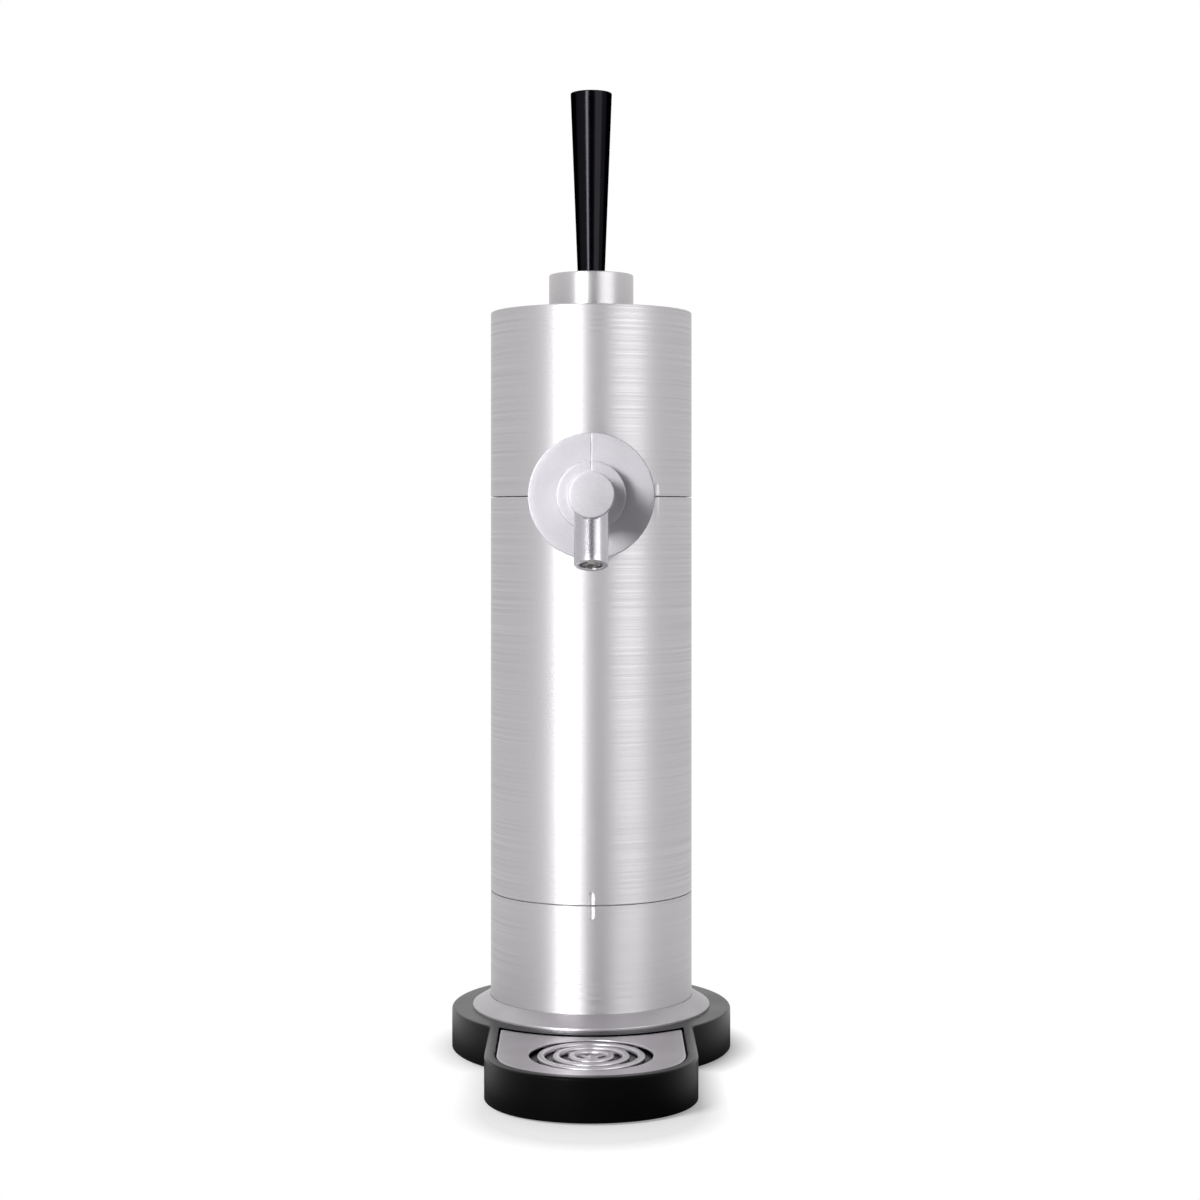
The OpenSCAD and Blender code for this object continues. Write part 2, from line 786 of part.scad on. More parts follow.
module lever_bracket() {
  color("#8f9194")
    difference() {
      union() {
        for (side = [-1, 1])
          block([side * (cheek_in + cheek_t / 2) - cheek_t / 2, -cheek_half, bracket_foot_z],
                [side * (cheek_in + cheek_t / 2) + cheek_t / 2, cheek_half, cap_z]);
        block([-cheek_in - weld, -cheek_half, bracket_foot_z], [cheek_in + weld, cheek_half, bracket_foot_z + bridge_t]);
      }
      rod_x(pivot_d / 2, -cheek_in - cheek_t - over, cheek_in + cheek_t + over, 0, lever_z);
    }
}

spring_w = 3;
spring_leg = 1.5;

module pivot_pin() {
  color("#b5b5b7")
    rod_x(pivot_d / 2, -cheek_in - cheek_t - weld, cheek_in + cheek_t + spring_w + 2 * weld, 0, lever_z);
}

module return_spring() {
  color("#8a8c90")
    difference() {
      union() {
        rod_x(hub_r, cheek_in + cheek_t + weld, cheek_in + cheek_t + spring_w, 0, lever_z);
        block([cheek_in + cheek_t + weld, hub_r - spring_leg, lever_z], [cheek_in + cheek_t + spring_w, hub_r, cap_z]);
      }
      rod_x(pivot_d / 2 + fit_gap, cheek_in, cheek_in + cheek_t + spring_w + over, 0, lever_z);
    }
}

module switch_housing() {
  color("#26272b")
    difference() {
      block([-slider_half - run_gap - housing_wall, -slider_half - slider_travel - 2 * run_gap - housing_wall, bracket_foot_z + bridge_t],
            [slider_half + run_gap + housing_wall, slider_half + slider_travel + 2 * run_gap + housing_wall, slider_foot_z + slider_h]);
      block([-slider_half - run_gap, -slider_half - slider_travel - 2 * run_gap, slider_foot_z - run_gap],
            [slider_half + run_gap, slider_half + slider_travel + 2 * run_gap, slider_foot_z + slider_h + over]);
    }
}

module switch_slider() {
  color("#d9d4c4")
    difference() {
      block([-slider_half, -slider_half, slider_foot_z], [slider_half, slider_half, slider_foot_z + slider_h - run_gap]);
      block([-slider_half - over, -nose_r - 1.5 * fit_gap, nose_z - nose_r - run_gap],
            [slider_half + over, nose_r + 1.5 * fit_gap, slider_foot_z + slider_h + over]);
    }
}

module lever_stem() {
  color("#b5b5b7")
    difference() {
      union() {
        difference() {
          translate([0, 0, nose_z])
            cylinder(h = handle_foot_z + handle_len / 2 - nose_z - weld, r = rod_d / 2 * 0.998);
          for (side = [-1, 1])
            block([-rod_d, side * (neck_half + rod_d / 2) - rod_d / 2, nose_z - over],
                  [rod_d, side * (neck_half + rod_d / 2) + rod_d / 2, nose_z + neck_len]);
        }
        rod_x(nose_r, -rod_d / 2.5, rod_d / 2.5, 0, nose_z);
        rod_x(hub_r, -cheek_in + run_gap, cheek_in - run_gap, 0, lever_z);
      }
      rod_x(pivot_d / 2 + journal_gap, -cheek_in - over, cheek_in + over, 0, lever_z);
    }
}

handle_round = 0.4;
flare = (handle_top_d - handle_low_d) / 2;

module lever_handle() {
  color("#0d0d0e")
    difference() {
      translate([0, 0, handle_foot_z])
        rotate_extrude()
          polygon(concat([[0, 0], [handle_low_d / 2, 0], [handle_low_d / 2, collar_top_z - handle_foot_z],
            [handle_low_d / 2 + flare * 0.06, collar_top_z - handle_foot_z + handle_len * 0.04]],
            arc_points([handle_top_d / 2 - handle_round, collar_top_z - handle_foot_z + handle_len - handle_round], handle_round, 0, 90, round_steps),
            [[0, collar_top_z - handle_foot_z + handle_len]]));
      translate([0, 0, handle_foot_z - over])
        cylinder(h = handle_len / 2 + over, r = rod_d / 2);
    }
}

module battery_holder() {
  color("#2a2b2f")
    difference() {
      block([-bay_w / 2 - holder_wall, bay_y - holder_wall, holder_z], [bay_w / 2 + holder_wall, bay_y + bay_w + holder_wall, holder_top_z]);
      block([-bay_w / 2, bay_y, holder_z - over], [bay_w / 2, bay_y + bay_w, holder_z + bay_len]);
    }
}

contact_t = 0.4;
contact_w = 11;

module battery_contacts() {
  color("#c8a24a")
    for (x = [-1, 1], y = [-1, 1])
      translate([x * cell_d / 2, bay_y + bay_w / 2 + y * cell_d / 2, holder_z + bay_len - contact_t])
        cylinder(h = contact_t, r = contact_w / 2);
}

module lid_hinge_pin() {
  color("#b5b5b7")
    rod_x(lid_pin_r, -knuckle_half - run_gap - ear_w, knuckle_half + run_gap + ear_w, lid_axis_y, lid_axis_z);
}

lid_rib_h = 2;

module battery_lid() {
  color("#d8d6d0")
    difference() {
      union() {
        block([-lid_x, lid_y0, lid_top_z - lid_t], [lid_x, lid_y1, lid_top_z]);
        block([-knuckle_half, lid_axis_y, lid_axis_z - lid_knuckle_r], [knuckle_half, lid_y0 + weld, lid_axis_z]);
        rod_x(lid_knuckle_r, -knuckle_half, knuckle_half, lid_axis_y, lid_axis_z);
        block([-bay_w / 2 + 2 * run_gap, bay_y + bay_w - lid_rib_h - 2 * run_gap, lid_top_z - weld],
              [bay_w / 2 - 2 * run_gap, bay_y + bay_w - 2 * run_gap, lid_top_z + lid_rib_h]);
      }
      rod_x(lid_pin_r + journal_gap, -knuckle_half - over, knuckle_half + over, lid_axis_y, lid_axis_z);
    }
}

// Pump, hoses and board
pump_x = -19;
pump_y = -18;
port_r = 2.4;
port_len = 5;
inlet_y = -13;
inlet_z = floor_top_z + 0.6 * pump_h;
outlet_y = -25;
outlet_z = floor_top_z + pump_h - 1.8 * port_r;
hose_r = 3.5;
hose_sides = 12;
hose_bore_r = (draw_d / 2 + journal_gap) / cos(180 / hose_sides);
hose_bend = 8;
pump_side_x = pump_x + sqrt(pow(pump_d / 2, 2) - pow(outlet_y - pump_y, 2));
port_end_x = pump_side_x + port_len;

module pump_head() {
  color("#3b4a55")
    difference() {
      union() {
        translate([pump_x, pump_y, 0])
          disc(pump_d / 2, floor_top_z, floor_top_z + pump_h);
        rod_x(port_r, pump_x, port_end_x, inlet_y, inlet_z);
        rod_x(port_r, pump_x, port_end_x, outlet_y, outlet_z);
      }
      rod_x(port_r / 2, pump_x, port_end_x + over, inlet_y, inlet_z);
      rod_x(port_r / 2, pump_x, port_end_x + over, outlet_y, outlet_z);
    }
}

motor_cap_h = 2;

module pump_motor() {
  color("#b9bbbd")
    translate([pump_x, pump_y, 0]) {
      disc(motor_d / 2, floor_top_z + pump_h, floor_top_z + pump_h + motor_len - motor_cap_h);
      disc(motor_d / 4, floor_top_z + pump_h, floor_top_z + pump_h + motor_len);
    }
}

// A hose swept along a route, as rings of points square to the route
function unit(v) = v / norm(v);
function route_dir(p, i) = unit(p[min(i + 1, len(p) - 1)] - p[max(i - 1, 0)]);
function hose_ring(c, d, side, r) =
  let (u = unit(cross(d, side)), v = cross(d, u))
    [for (k = [0:hose_sides - 1]) c + r * (cos(360 * k / hose_sides) * u + sin(360 * k / hose_sides) * v)];

module hose(route, side, r_out, r_in) {
  n = len(route);
  m = hose_sides;
  pts = [for (r = [r_out, r_in], i = [0:n - 1], q = hose_ring(route[i], route_dir(route, i), side, r)) q];
  outer = [for (i = [0:n - 2], k = [0:m - 1]) [i * m + k, i * m + (k + 1) % m, (i + 1) * m + (k + 1) % m, (i + 1) * m + k]];
  inner = [for (f = outer) [f[3] + n * m, f[2] + n * m, f[1] + n * m, f[0] + n * m]];
  low = [for (k = [0:m - 1]) [k, n * m + k, n * m + (k + 1) % m, (k + 1) % m]];
  high = [for (k = [0:m - 1]) [(n - 1) * m + k, (n - 1) * m + (k + 1) % m, (2 * n - 1) * m + (k + 1) % m, (2 * n - 1) * m + k]];
  polyhedron(pts, concat(outer, inner, low, high), convexity = 4);
}

bend_steps = 8;
inlet_route = concat(
  [[draw_x, draw_y, floor_top_z + floor_t], [draw_x, draw_y, inlet_z - hose_bend - port_r]],
  [for (i = [0:bend_steps]) [draw_x - hose_bend * (1 - cos(90 * i / bend_steps)), draw_y, inlet_z - hose_bend * (1 - sin(90 * i / bend_steps))]],
  [[pump_x + pump_d / 2 + weld, inlet_y, inlet_z]]);

block_w = 12;
block_roof = 3;
block_port_out = 4;
block_x0 = pump_side_x + 7 * weld;
block_x1 = block_x0 + block_w;
block_y0 = -36;
block_y1 = -22;
block_z1 = nipple_z + nipple_r + block_roof;
block_port_x = port_end_x + block_port_out;
outlet_bend = 6;
block_port_len = outlet_z - outlet_bend - block_z1;

outlet_route = concat(
  [[pump_x + pump_d / 2 + weld, outlet_y, outlet_z], [block_port_x - outlet_bend, outlet_y, outlet_z]],
  [for (i = [1:bend_steps]) [block_port_x - outlet_bend * (1 - sin(90 * i / bend_steps)), outlet_y, outlet_z - outlet_bend * (1 - cos(90 * i / bend_steps))]],
  [[block_port_x, outlet_y, block_z1]]);

module inlet_hose() {
  color("#cfd3d2")
    hose(inlet_route, [0, 1, 0], hose_r, hose_bore_r);
}

module outlet_hose() {
  color("#cfd3d2")
    hose(outlet_route, [0, 1, 0], hose_r, hose_bore_r);
}

module draw_tube() {
  color("#e8e8e6")
    difference() {
      translate([draw_x, draw_y, pad_top_z + draw_lift])
        cylinder(h = floor_top_z + 2.5 * floor_t - pad_top_z - draw_lift, r = draw_d / 2);
      translate([draw_x, draw_y, pad_top_z])
        cylinder(h = floor_top_z - pad_top_z + 4 * floor_t, r = draw_bore / 2);
    }
}

module tube_gland() {
  color("#5c5c60")
    translate([draw_x, draw_y, 0]) {
      ring(gland_r, draw_d / 2 + journal_gap, floor_top_z, floor_top_z + floor_t * 0.8);
      ring(gland_r - floor_t / 2 - journal_gap, draw_d / 2 + journal_gap, floor_z - weld, floor_top_z);
    }
}

board_x = 24;
board_t = 1.6;
board_y0 = -24;
board_y1 = 8;
board_h = 46;
post_w = 4;
post_h = 8;

module circuit_board() {
  color("#1f6b3a")
    union() {
      block([board_x, board_y0, floor_top_z + post_w / 4], [board_x + board_t, board_y1, floor_top_z + board_h]);
      for (k = [0:2])
        block([board_x - board_t, board_y0 + post_w * (1 + 2 * k), floor_top_z + board_h * 0.5],
              [board_x + weld, board_y0 + post_w * (2.4 + 2 * k), floor_top_z + board_h * (0.65 + 0.08 * k)]);
    }
}

module outlet_block() {
  color("#d8d6d0")
    difference() {
      union() {
        block([block_x0, block_y0, floor_top_z], [block_x1, block_y1, block_z1]);
        translate([block_port_x, outlet_y, block_z1 - weld])
          cylinder(h = block_port_len + weld, r = port_r);
      }
      rod_y(nipple_r * 0.75 + journal_gap, block_y0 + port_len, block_y0 - over, nipple_x, nipple_z);
      rod_y(port_r / 2, outlet_y + port_r / 2, block_y0 - over, nipple_x, nipple_z);
      translate([block_port_x, outlet_y, nipple_z])
        cylinder(h = outlet_z - nipple_z, r = port_r / 2);
      rod_x(port_r / 2, nipple_x, block_port_x, outlet_y, nipple_z);
    }
}

module foam_transducer() {
  color("#b08d57")
    rod_y(nipple_r, block_y1 + board_t, block_y1, nipple_x + (block_x1 + block_x0) / 2, nipple_z);
}

// Tap plate, fixed to the head and hollowed behind to saddle the column
plate_y = -column_r - plate_proud;
plate_r = plate_d / 2;
plate_bevel = 0.5;
boss_out_r = 7.5;
boss_bore_r = 4.6;
boss_short = 0.5;
saddle_depth = 12;
boss_front_y = plate_y - hub_h + boss_short;
saddle_y = -column_r + saddle_depth;
bay_lug_h = 1.5;
bay_lug_out = 1.8;
bay_lug_angle = 36;
bay_lug_out_y = 1.8;
bay_y_back = plate_y - bay_lug_out_y;
tap_twist = 60;
entry_room = 2;
line_w = 0.35;
channel_r = 0.9;

module escutcheon() {
  color("#c6c6c4")
    difference() {
      union() {
        difference() {
          union() {
            rod_y(plate_r, saddle_y, plate_y + plate_bevel, 0, upper_seam_z);
            translate([0, plate_y + plate_bevel, upper_seam_z])
              rotate([90, 0, 0])
                cylinder(h = plate_bevel, r1 = plate_r, r2 = plate_r - plate_bevel);
          }
          disc(column_r + journal_gap, head_bottom_z, upper_seam_z + plate_r + over);
          disc(column_r + run_gap, upper_seam_z - plate_r - over, head_bottom_z + weld);
        }
        rod_y(boss_out_r, plate_y + weld, boss_front_y, 0, upper_seam_z);
        for (a = [0, 180])
          translate([0, bay_y_back, upper_seam_z])
            rotate([90, 0, 0])
              rotate([0, 0, a - bay_lug_angle / 2])
                rotate_extrude(angle = bay_lug_angle)
                  translate([boss_out_r - weld, 0])
                    square([bay_lug_out + weld, bay_lug_h]);
        rod_y(nipple_r, block_y0 - run_gap, -column_r - plate_proud / 2, nipple_x, nipple_z);
        rod_y(nipple_r * 0.75, block_y0 + port_len - weld, block_y0 - run_gap - weld, nipple_x, nipple_z);
      }
      rod_y(boss_bore_r, plate_y + plate_proud * 0.55, boss_front_y - over, 0, upper_seam_z);
      rod_y(port_r / 2, block_y0 + port_len + over, plate_y + plate_proud * 0.3, nipple_x, nipple_z);
      translate([0, plate_y + plate_proud * 0.45, upper_seam_z])
        cylinder(h = nipple_z - upper_seam_z, r = channel_r);
      block([-line_w / 2, plate_y - over, upper_seam_z + hub_d / 2 + run_gap],
            [line_w / 2, plate_y + line_w, upper_seam_z + plate_r - 2 * plate_bevel]);
    }
}

module escutcheon_nut() {
  color("#b5b5b7")
    difference() {
      translate([nipple_x, block_y0 - run_gap, nipple_z])
        rotate([90, 0, 0])
          cylinder(h = 1.25 * nipple_r, r = 1.6 * nipple_r, $fn = 6);
      rod_y(nipple_r + journal_gap, block_y0 + over, -column_r, nipple_x, nipple_z);
      difference() {
        disc(2 * column_r, nipple_z - 2 * nipple_r, nipple_z + 2 * nipple_r);
        disc(skin_r - fit_gap, nipple_z - 3 * nipple_r, nipple_z + 3 * nipple_r);
      }
    }
}

// Tap, built along +Z and laid forward, with s measured from the column axis
barrel_r = barrel_d / 2;
hub_back_s = -plate_y + run_gap;
hub_front_s = -plate_y + hub_h;
hub_bevel = 0.8;
tap_nose_r = boss_bore_r - 2 * journal_gap;
tap_seal_t = 1;
cavity_front_s = hub_front_s + tap_seal_t;
front_round = 0.8;
front_dome = 0.4;
spout_setback = 2;
spout_r = spout_d / 2;
mouth_y = -barrel_reach + spout_setback;
mouth_z = upper_seam_z - spout_drop;
spout_len = 27;
duct_r = 2.4;
riser_share = 0.85;

// Moves to the spout mouth with +Z running up the leaning spout
module at_mouth() {
  translate([0, mouth_y, mouth_z])
    rotate([-spout_lean, 0, 0])
      children();
}

module tap_body() {
  color("#bdbdbb")
    difference() {
      translate([0, 0, upper_seam_z])
        rotate([90, 0, 0])
          difference() {
            rotate_extrude()
              polygon(concat([[0, hub_back_s], [hub_d / 2, hub_back_s], [hub_d / 2, hub_front_s - hub_bevel],
                [hub_d / 2 - hub_bevel, hub_front_s], [barrel_r, hub_front_s]],
                arc_points([barrel_r - front_round, barrel_reach - front_dome - front_round], front_round, 0, 75, round_steps),
                [[barrel_r * 0.4, barrel_reach - front_dome * 0.2], [0, barrel_reach]]));
            difference() {
              disc(boss_out_r + 2 * journal_gap, hub_back_s - over, cavity_front_s);
              disc(tap_nose_r, hub_back_s - 2 * over, cavity_front_s + over);
            }
            ring(boss_out_r + bay_lug_out + run_gap, boss_out_r - weld, -bay_y_back - run_gap, -bay_y_back + bay_lug_h + run_gap);
            for (a = [0, 180])
              arc_ring(boss_out_r + bay_lug_out + fit_gap, boss_out_r - weld, hub_back_s - over, -bay_y_back + bay_lug_h,
                a - tap_twist - bay_lug_angle / 2 - entry_room, bay_lug_angle + 2 * entry_room);
            disc(duct_r, hub_back_s - over, barrel_reach - barrel_r);
            block([-line_w / 2, barrel_r + fit_gap, hub_front_s - line_w], [line_w / 2, hub_d / 2 + over, hub_front_s + over]);
          }
      at_mouth()
        cylinder(h = spout_len, r = spout_r + journal_gap);
      at_mouth()
        cylinder(h = spout_len + 2 * duct_r, r = duct_r * riser_share);
    }
}

module spout_tube() {
  color("#bdbdbb")
    at_mouth()
      difference() {
        cylinder(h = spout_len, r = spout_r);
        translate([0, 0, -over])
          cylinder(h = spout_len * 0.8 + over, r = spout_bore / 2);
        cylinder(h = spout_len + over, r = duct_r);
      }
}

straightener_len = 7;
straightener_set = 1.2;
vane_t = 0.8;

module flow_straightener() {
  color("#d8d6d0")
    at_mouth()
      translate([0, 0, straightener_set])
        intersection() {
          cylinder(h = straightener_len, r = spout_bore / 2 - journal_gap);
          union() {
            for (a = [45, 135])
              rotate([0, 0, a])
                block([-spout_bore, -vane_t / 2, -over], [spout_bore, vane_t / 2, straightener_len + over]);
            cylinder(h = straightener_len, r = 2 * vane_t);
          }
        }
}

module tap_seal() {
  color("#5c5c60")
    translate([0, 0, upper_seam_z])
      rotate([90, 0, 0])
        ring(boss_out_r - journal_gap, tap_nose_r + journal_gap, cavity_front_s - tap_seal_t, cavity_front_s);
}

base_housing();
base_plate();
rubber_feet();
base_screws();
ballast_plate();
trim_ring();
foot_tube();
foot_frame();
foot_screws();
can_pad();
lower_lock_ring();
lower_seal();
drip_tray();
drip_grille();
sleeve_tube();
sleeve_liner();
cold_pack_left();
cold_pack_right();
head_shell();
head_cap();
head_frame();
frame_screws();
spigot_seal();
collar();
collar_bezel();
lever_bracket();
pivot_pin();
return_spring();
battery_holder();
battery_contacts();
lid_hinge_pin();
battery_lid();
pump_motor();
pump_head();
inlet_hose();
outlet_hose();
draw_tube();
tube_gland();
circuit_board();
switch_housing();
switch_slider();
escutcheon();
escutcheon_nut();
outlet_block();
foam_transducer();
lever_stem();
lever_handle();
tap_body();
spout_tube();
flow_straightener();
tap_seal();
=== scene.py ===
import math

import bmesh
import bpy
import numpy as np
from bpy.props import FloatProperty, FloatVectorProperty, PointerProperty
from mathutils.geometry import tessellate_polygon
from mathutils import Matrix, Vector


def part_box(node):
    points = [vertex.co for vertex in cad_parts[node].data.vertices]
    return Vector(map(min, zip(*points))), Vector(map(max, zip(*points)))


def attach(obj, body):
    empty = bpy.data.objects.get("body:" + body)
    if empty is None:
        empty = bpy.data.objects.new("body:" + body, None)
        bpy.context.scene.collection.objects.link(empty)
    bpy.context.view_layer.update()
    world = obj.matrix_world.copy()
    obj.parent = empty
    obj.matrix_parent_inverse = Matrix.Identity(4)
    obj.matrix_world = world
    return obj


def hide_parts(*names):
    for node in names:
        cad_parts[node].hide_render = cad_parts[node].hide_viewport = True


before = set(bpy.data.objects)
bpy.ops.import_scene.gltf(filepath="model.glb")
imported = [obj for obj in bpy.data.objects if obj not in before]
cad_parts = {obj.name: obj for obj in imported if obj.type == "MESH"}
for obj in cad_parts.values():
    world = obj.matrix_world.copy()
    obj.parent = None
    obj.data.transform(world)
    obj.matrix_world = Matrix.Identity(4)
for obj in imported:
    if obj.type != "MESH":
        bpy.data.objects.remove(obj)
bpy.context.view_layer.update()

bl_info = {
    "name": "Canned beer dispenser",
    "version": (1, 0, 0),
    "blender": (4, 5, 0),
    "location": "3D View > Sidebar > Dispenser",
    "description": "Brushed can dispenser with a tap, a pump handle and a drip tray",
    "category": "Object",
}

MM = 0.001
TOUCH = 1e-6  # points closer than this are one point
MARK_STEP = 0.25 * MM  # rows of the mesh at the alignment marks

# Profiles behind the tap: (radius, distance in front of the column's axis)
SPIGOT = ((0, 52.6 * MM), (4.6 * MM, 52.6 * MM), (4.6 * MM, 53 * MM), (7.5 * MM, 53 * MM), (7.5 * MM, 48.7 * MM))
NIPPLE = ((2.4 * MM, 31.2 * MM), (3.0 * MM, 31.2 * MM), (3.0 * MM, 36.2 * MM), (4.0 * MM, 36.2 * MM),
          (4.0 * MM, 45.6 * MM), (2.4 * MM, 45.6 * MM))

# Pieces that keep their built shape, by finish
WEAR = {
    "lid": ("head_cap",),
    "well": ("drip_tray",),
    "black": ("base_plate", "collar_bezel", "battery_holder", "switch_housing"),
    "rubber": ("rubber_feet", "can_pad"),
    "seal": ("lower_seal", "spigot_seal", "tap_seal", "tube_gland"),
    "steel": ("base_screws", "foot_screws", "frame_screws", "ballast_plate", "lever_bracket", "pivot_pin",
              "return_spring", "lid_hinge_pin", "lever_stem", "escutcheon_nut", "pump_motor"),
    "white": ("foot_frame", "lower_lock_ring", "sleeve_liner", "head_frame", "battery_lid", "outlet_block",
              "switch_slider", "draw_tube", "flow_straightener"),
    "pump": ("pump_head",),
    "hose": ("inlet_hose", "outlet_hose"),
    "gel": ("cold_pack_left", "cold_pack_right"),
    "board": ("circuit_board",),
    "brass": ("battery_contacts", "foam_transducer"),
}

# Stage, in metres: the floor's half width, and the outline round which the floor's painted shade lies: the base's foot
# and a tongue that reaches about 23 mm further forward than the real one
FLOOR_HALF = 6.0
FOOT_RADIUS = 62.3 * MM
TONGUE_HALF = 43.6 * MM
PAINTED_SHADE_END = (0, -110 * MM, 0)

# Lamps: name, place, target, width and height in metres, power in watts, lights matt surfaces, is seen in gloss
MIDDLE = (0, 0, 0.2)
LAMPS = (
    ("strip left", (-0.59, -1.27, 0.4), MIDDLE, (0.44, 1.0), 13.5, False, True),
    ("streak left", (-0.584, -1.257, 0.398), MIDDLE, (0.12, 1.0), 10, False, True),
    ("strip right", (0.91, -1.01, 0.6), MIDDLE, (1.0, 0.9), 7.4, False, True),
    ("key", (-0.86, -0.8, 0.7), MIDDLE, (0.44, 0.44), 22.8, True, False),
    ("top", (0.0, 0.45, 1.5), (0, 0, 0), (1.4, 1.4), 9, True, False),
)


def top_of(node):
    """Highest Z of a CAD node, in metres."""
    return float(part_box(node)[1][2])


def foot_of(node):
    """Lowest Z of a CAD node, in metres."""
    return float(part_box(node)[0][2])


def srgb(code):
    """Linear RGBA of an sRGB hex colour."""
    parts = [int(code[i : i + 2], 16) / 255 for i in (1, 3, 5)]
    return [c / 12.92 if c <= 0.04045 else ((c + 0.055) / 1.055) ** 2.4 for c in parts] + [1.0]


def length(name, description, default, low=0.0, high=1.0):
    """A size in metres that a user may change."""
    return FloatProperty(name=name, description=description, default=default, min=low, max=high,
                         unit="LENGTH", subtype="DISTANCE", precision=5)


def angle(name, description, degrees):
    """An angle that a user may change, given in degrees."""
    return FloatProperty(name=name, description=description, default=math.radians(degrees), subtype="ANGLE")


def tint(name, description, code):
    """A colour that a user may change, given as sRGB hex."""
    return FloatVectorProperty(name=name, description=description, default=srgb(code)[:3], min=0.0, max=1.0,
                               size=3, subtype="COLOR")


class ColumnSettings(bpy.types.PropertyGroup):
    """Sizes and metal of the column's skins, marks and collar"""
    radius: length("Radius", "Outer radius of the column", float(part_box("sleeve_tube")[1][0]))
    wall: length("Wall", "Wall of the skins", 1.5 * MM)
    seam_round: length("Seam rounding", "Rounding of the skin edges at a seam", 0.25 * MM)
    bevel: length("Head bevel", "Bevel on the top edge of the head", 0.7 * MM)
    mark_width: length("Mark width", "Width of the alignment marks", 2.8 * MM)
    mark_length: length("Mark length", "Length of the alignment marks", 11.6 * MM)
    mark_depth: length("Mark depth", "Depth of the alignment marks", 0.4 * MM)
    upper_mark: angle("Upper mark bearing", "Bearing of the upper mark from the front", 39)
    collar_radius: length("Collar radius", "Outer radius of the collar", float(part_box("collar")[1][0]))
    metal: tint("Metal", "Brushed aluminium", "#C5C3C5")


class BaseSettings(bpy.types.PropertyGroup):
    """Sizes and colours of the base, its trim ring and the grille"""
    disc_radius: length("Foot radius", "Radius of the round foot", float(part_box("base_housing")[1][0]))
    half_width: length("Tongue half width", "Half width of the tray tongue", 43.6 * MM)
    reach: length("Tongue reach", "Column axis to the tip of the tongue", -float(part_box("base_housing")[0][1]))
    front_radius: length("Front radius", "Radius of the tongue's front edge", 50 * MM)
    corner_radius: length("Corner radius", "Radius of the tongue's corners", 38 * MM)
    edge: length("Edge rounding", "Rounding of the base's top edge", 1.2 * MM)
    wall: length("Wall", "Wall of the base moulding", 2.6 * MM)
    rim: length("Rim", "Width of the rim round the tray", 4.2 * MM)
    trim_inset: length("Trim inset", "Foot's edge to the edge of the trim ring", 9.3 * MM)
    grille_inset: length("Grille inset", "Distance from the tongue's edge to the grille", 5.0 * MM)
    grille_back: length("Grille back radius", "Radius of the grille's hollow back edge", 60.8 * MM)
    trim_edge: length("Trim edge", "Height of the trim ring's outer edge", 0.9 * MM)
    sheet: length("Grille sheet", "Thickness of the grille sheet", 1.55 * MM)
    ring_centre: length("Ring centre", "Column axis to the centre of the grille rings", 91 * MM)
    hole_radius: length("Grille hole", "Radius of the hole that the rings lie in", 25.4 * MM)
    ring_pitch: length("Ring pitch", "Distance from one grille ring to the next", 6.35 * MM)
    ring_width: length("Ring width", "Width of a grille ring", 2.95 * MM)
    ring_height: length("Ring height", "Height of a grille ring", 1.5 * MM)
    grille_depth: length("Grille depth", "Top of the grille to the foot of its bars and boss", 3.05 * MM)
    boss_radius: length("Boss radius", "Radius of the grille's centre boss", 3.0 * MM)
    bar_width: length("Bar width", "Width of the bars that carry the rings", 2.4 * MM)
    plastic: tint("Plastic", "Black ABS of the base", "#0A090A")
    paint: tint("Silver paint", "Trim ring and grille", "#ADAAAE")


class TapSettings(bpy.types.PropertyGroup):
    """Sizes and metal of the tap"""
    height: length("Tap height", "Height of the tap's axis", 246 * MM)
    plate_radius: length("Plate radius", "Radius of the tap plate", float(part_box("escutcheon")[1][0]))
    plate_front: length("Plate front", "Column axis to the front of the tap plate", 48.5 * MM)
    recess: length("Recess radius", "Inner radius of the plate's face and of the hub's back", 7.6 * MM)
    hub_radius: length("Hub radius", "Radius of the turning hub", 15 * MM)
    hub_front: length("Hub front", "Column axis to the front of the hub", 53.5 * MM)
    barrel_radius: length("Barrel radius", "Radius of the tap barrel", 9.65 * MM)
    barrel_front: length("Barrel front", "Column axis to the front of the barrel", 90 * MM)
    line_width: length("Index line width", "Width of the index line across the plate and hub", 0.8 * MM)
    line_depth: length("Index line depth", "Depth of the index line", 0.25 * MM)
    setback: length("Spout setback", "Barrel front to the spout mouth's centre", 2 * MM)
    spout_radius: length("Spout radius", "Outer radius of the spout", 7.1 * MM)
    spout_bore: length("Spout bore", "Inner radius of the spout", 4.9 * MM)
    spout_length: length("Spout length", "Length of the spout from its mouth into the barrel", 26.5 * MM)
    spout_drop: length("Spout drop", "Barrel axis to the spout mouth", 29 * MM)
    lean: angle("Spout lean", "Forward lean of the spout", 20)
    metal: tint("Cast metal", "Silver lacquered casting", "#BEBBC1")


class LeverSettings(bpy.types.PropertyGroup):
    """Sizes and finish of the handle"""
    low_radius: length("Low radius", "Handle radius at the collar", 6.05 * MM)
    top_radius: length("Top radius", "Handle radius at the top", 9.3 * MM)
    straight: length("Straight foot", "Height above the collar at which the handle begins to flare", 3.3 * MM)
    edge: length("Edge rounding", "Rounding of the handle's top edge", 0.4 * MM)
    gloss: tint("Gloss black", "Polished handle", "#161518")


